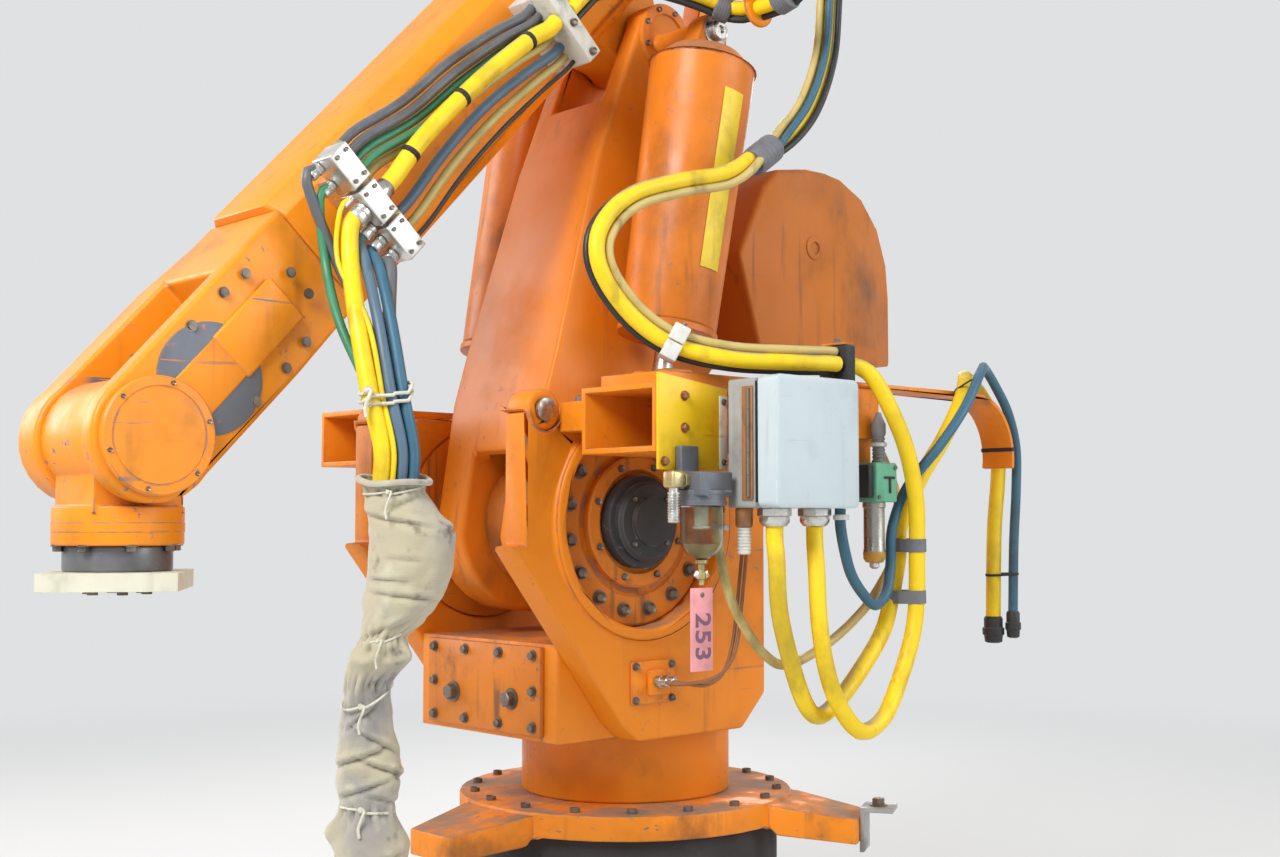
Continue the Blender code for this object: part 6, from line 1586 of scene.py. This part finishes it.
for stain, scale, detail, low, high in (
    ((0.3, 0.285, 0.27), 7.0, 5.0, 0.42, 0.66),
    ((0.56, 0.52, 0.38), 14.0, 6.0, 0.55, 0.72),
    ((0.13, 0.11, 0.08), 22.0, 8.0, 0.6, 0.74),
):
    cloth_colour = painted(cloth_colour, stain, between(cloud(scale, detail, rough=0.5), low, high))
# Painted shade darkens the canvas in its concave creases and a painted highlight lightens its convex ridges,
# both read from pointiness.
fold_shade_and_highlight = canvas_tree.nodes.new("ShaderNodeNewGeometry").outputs["Pointiness"]
cloth_colour = painted(cloth_colour, (0.11, 0.095, 0.07), between(fold_shade_and_highlight, 0.5, 0.4, 0.75, kind="LINEAR"))
cloth_colour = painted(cloth_colour, (0.64, 0.6, 0.45), between(fold_shade_and_highlight, 0.52, 0.6, 0.6, kind="LINEAR"))
canvas_tree.links.new(cloth_colour, canvas_shader.inputs["Base Color"])
weave = []
for turn in (0.0, math.pi / 2):
    weave_turn = canvas_tree.nodes.new("ShaderNodeMapping")
    weave_turn.inputs["Rotation"].default_value = (0.0, 0.0, turn)
    canvas_tree.links.new(canvas_place.outputs["UV"], weave_turn.inputs["Vector"])
    threads = canvas_tree.nodes.new("ShaderNodeTexWave")
    threads.bands_direction = "X"
    threads.inputs["Scale"].default_value = 150.0
    threads.inputs["Distortion"].default_value = 0.8
    threads.inputs["Detail"].default_value = 1.0
    threads.inputs["Detail Scale"].default_value = 4.0
    canvas_tree.links.new(weave_turn.outputs["Vector"], threads.inputs["Vector"])
    weave.append(threads.outputs["Fac"])
woven = relief(sums(*weave, "ADD"), 0.35, 0.0006)
crinkled = relief(cloud(45.0, 6.0, rough=0.5), 0.6, 0.0025, woven)
canvas_tree.links.new(crinkled, canvas_shader.inputs["Normal"])

sleeve_line = routed([ring[:3] for ring in SLEEVE_RINGS], 0.004)
sleeve_girth = []
for place in sleeve_line:
    upper, lower = next(
        ((one, two) for one, two in zip(SLEEVE_RINGS, SLEEVE_RINGS[1:]) if place.z >= two[2]),
        SLEEVE_RINGS[-2:]
    )
    share = min(1.0, max(0.0, (upper[2] - place.z) / (upper[2] - lower[2])))
    share = 0.5 * share + 0.5 * share * share * (3.0 - 2.0 * share)
    sleeve_girth.append(
        Vector(
            (upper[3] + share * (lower[3] - upper[3]), upper[4] + share * (lower[4] - upper[4]), place.z)
        )
    )
sleeve_sides = 128
CORD_STEPS = 40
FRONT_ANGLE = 0.75
creases = (
    (0.927, 1.05, 0.85, 0.0052, 0.0048, 0.3), (0.902, 0.55, 1.2, 0.006, 0.0052, -0.22),
    (0.89, 2.4, 0.9, 0.0045, 0.0042, 0.15),
    (0.846, 0.75, 0.55, 0.0035, 0.004, -0.12), (0.815, 0.35, 0.8, 0.0055, 0.0042, -0.05),
    (0.79, 1.1, 1.6, 0.0062, 0.0042, -0.12),
    (0.77, 3.6, 1.4, 0.005, 0.005, 0.2), (0.744, 0.9, 1.1, 0.006, 0.006, 0.35),
    (0.85, 4.2, 1.2, 0.005, 0.006, 0.25),
    (0.612, 0.8, 0.9, 0.006, 0.0044, 0.6), (0.573, 1.3, 1.2, 0.0072, 0.0052, -0.45),
    (0.548, 0.6, 1.5, 0.0088, 0.0052, 0.3),
    (0.527, 1.7, 1.3, 0.0086, 0.005, -0.35), (0.5, 0.7, 1.3, 0.007, 0.0048, 0.3),
    (0.482, 1.9, 1.1, 0.005, 0.004, -0.2),
    (0.56, 3.9, 1.4, 0.0055, 0.005, 0.18), (0.5, 4.6, 1.3, 0.0055, 0.005, -0.15),
    (0.395, 1.2, 1.3, 0.0055, 0.005, 0.2),
    (0.345, 0.5, 1.2, 0.005, 0.0046, -0.18), (0.37, 3.6, 1.3, 0.005, 0.005, 0.15),
)
gathers = ((0.947, 0.01, 0.004), (0.731, 0.02, 0.005), (0.662, 0.018, 0.005), (0.4644, 0.014, 0.0045))
knot_lobes = (
    (0.703, 0.15, 0.5, 0.013, 0.017), (0.704, 1.82, 0.5, 0.0125, 0.0165),
    (0.713, 0.45, 0.24, -0.01, 0.0085),
    (0.711, 1.52, 0.28, -0.0125, 0.0085), (0.718, 1.0, 0.4, 0.005, 0.008),
    (0.436, -0.5, 0.28, 0.015, 0.019),
)
CUFF_ROLL = 0.005
cuff_turns = [math.radians(angle) for angle in (235, 205, 175, 145, 115, 88, 62, 36, 14)]
sleeve_mesh = bpy.data.meshes.new("canvas_sleeve_form")
places, corners = [], []
sleeve_rows = [(sleeve_line[0], sleeve_girth[0], turn) for turn in cuff_turns]
sleeve_rows += [(centre, girth, 0.0) for centre, girth in zip(sleeve_line, sleeve_girth)]
for centre, (deep, wide, _), roll in sleeve_rows:
    height = centre.z
    for step in range(sleeve_sides):
        angle = math.tau * step / sleeve_sides
        facing = Vector((math.cos(angle), math.sin(angle), 0.0))
        out = 0.0
        for level, middle, reach, depth, breadth, slant in creases:
            turn = (angle - middle + math.pi) % math.tau - math.pi
            fade = max(0.0, 1.0 - (turn / reach) ** 2)
            off = (height - level - slant * 0.05 * turn) / breadth
            out += fade * depth * (0.62 * math.exp(-((off - 1.5) ** 2) * 0.5) - math.exp(-(off**2)))
        for level, reach, depth in gathers:
            near = math.exp(-(((height - level) / reach) ** 2))
            out += near * depth * 0.5 * (
                math.sin(angle * 11.0 + 40.0 * level) + 0.6 * math.sin(angle * 19.0 + 3.0)
            )
        out += 0.0042 * noise.noise(Vector((facing.x * 1.6, facing.y * 1.6, height * 17.0)))
        out += 0.002 * noise.noise(Vector((facing.x * 3.4 + 5.0, facing.y * 3.4, height * 42.0 + 2.0)))
        out += 0.0022 * math.sin(height * 92.0 + 2.4 * noise.noise(facing * 1.3)) * noise.noise(
            Vector((facing.x * 1.2, facing.y * 1.2, height * 6.0 + 9.0))
        )
        for level, middle, reach, depth, breadth in knot_lobes:
            turn = (angle - middle + math.pi) % math.tau - math.pi
            out += depth * math.exp(-((turn / reach) ** 2) - ((height - level) / breadth) ** 2)
        out += CUFF_ROLL * (1.0 - math.cos(roll))
        sag = min(1.0, max(0.0, (height - 0.935) / 0.025)) * (
            0.0065 * math.cos(angle - 1.05) + 0.002 * math.sin(3.0 * angle + 0.8)
        )
        places.append(
            (
                centre.x + (deep + out) * facing.x, centre.y + (wide + out) * facing.y,
                height + CUFF_ROLL * math.sin(roll) - sag
            )
        )
for row in range(len(sleeve_rows) - 1):
    for step in range(sleeve_sides):
        after = (step + 1) % sleeve_sides
        here, below = row * sleeve_sides, (row + 1) * sleeve_sides
        corners.append((here + step, below + step, below + after, here + after))
sleeve_mesh.from_pydata(places, [], corners)
sleeve_mesh.update()
cloth_map = sleeve_mesh.uv_layers.new(name="cloth")
for face in sleeve_mesh.polygons:
    row, step = divmod(face.index, sleeve_sides)
    for loop, (down, over) in zip(face.loop_indices, ((0, 0), (1, 0), (1, 1), (0, 1))):
        cloth_map.data[loop].uv = ((step + over) * 0.32 / sleeve_sides, (row + down) * 0.0042)
sleeve = bpy.data.objects.new("canvas_sleeve_form", sleeve_mesh)
bpy.context.scene.collection.objects.link(sleeve)
alone(sleeve)
editing()
edited()
walled(sleeve, 0.0016, -1.0)
fitted(sleeve, "canvas_sleeve_form", "hose_bundle", canvas, None, 60.0)
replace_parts(sleeve, "canvas_sleeve")
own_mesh(sleeve)


def on_sleeve(at, size):
    """The way out from the sleeve's middle to its cloth at one height, for any angle."""
    centre = min(sleeve_line, key=lambda place: abs(place.z - at))
    girth = sleeve_girth[sleeve_line.index(centre)]
    return lambda angle: Vector(
        (centre.x + girth.x * size * math.cos(angle), centre.y + girth.y * size * math.sin(angle))
    )


def on_bundle(at, clear):
    """The way out to the hoses' common hull at one height, for any angle."""
    sections = [(min(line, key=lambda place: abs(place.z - at)).xy, radius) for line, radius in bundle]

    def reach(angle):
        facing = Vector((math.cos(angle), math.sin(angle)))
        outer = max(sections, key=lambda section: section[0].dot(facing) + section[1])
        return outer[0] + facing * (outer[1] + clear)

    return reach


def cord_round(name, at, reach, thickness, slope, turns=1, pitch=0.0045, crumples=True):
    """White cord drawn round cloth or hoses at one height, its ends knotted at the front and left hanging."""
    loop = []
    for step in range(CORD_STEPS * turns + 1):
        angle = math.tau * step / CORD_STEPS + FRONT_ANGLE
        lift = slope * 0.02 * math.cos(angle) + pitch * step / CORD_STEPS
        loop.append(Vector((*reach(angle), at + lift)))
    outward = Vector((math.cos(FRONT_ANGLE), math.sin(FRONT_ANGLE), 0.0))
    sideways = Vector((-math.sin(FRONT_ANGLE), math.cos(FRONT_ANGLE), 0.0))
    tail = loop[-1]
    for out, aside, lower in (
        (0.006, 0.006, 0.0), (0.01, 0.004, -0.01), (0.008, -0.002, -0.026), (0.009, 0.0, -0.04)
    ):
        loop.append(tail + outward * out + sideways * aside + Vector((0.0, 0.0, lower)))
    cord = hose(
        name, routed(loop, 0.004), thickness, "hose_bundle", white_cord, "canvas_sleeve", meshed=True,
        far_end="bare", stiffness="limp", lay="hanging"
    )
    if crumples:
        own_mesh(cord)
    bpy.ops.mesh.primitive_uv_sphere_add(
        segments=14, ring_count=8, radius=thickness * 2.3, location=tail + outward * 0.003
    )
    knot = bpy.context.object
    for vertex in knot.data.vertices:
        vertex.co *= 1.0 + 0.35 * noise.noise(vertex.co * 400.0)
    fitted(knot, f"{name}_knot", "hose_bundle", white_cord)
    if crumples:
        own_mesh(knot)
    return cord


white_cord = worn_finish(
    "white_cord", (0.62, 0.6, 0.5), (0.35, 0.32, 0.25), 0.75, patch=60.0, wear=0.2, chips=0.4, dust=0.2,
    edge=0.0, grain=900.0, pebbles=0.5
)
for name, at, size, thickness, slope in (
    ("rim_cord", 0.947, 1.09, 0.0017, -0.5),
    ("knot_cord", 0.731, 1.1, 0.0015, -0.6),
    ("twine_cord", 0.64, 1.1, 0.002, -1.1),
    ("foot_cord", 0.4644, 1.06, 0.0022, 0.2),
):
    cord_round(name, at, on_sleeve(at, size), thickness, slope)
cord_round(
    "bundle_cord", 1.08, on_bundle(1.084, 0.0026), 0.0028, -0.7, turns=2, pitch=0.012, crumples=False
)
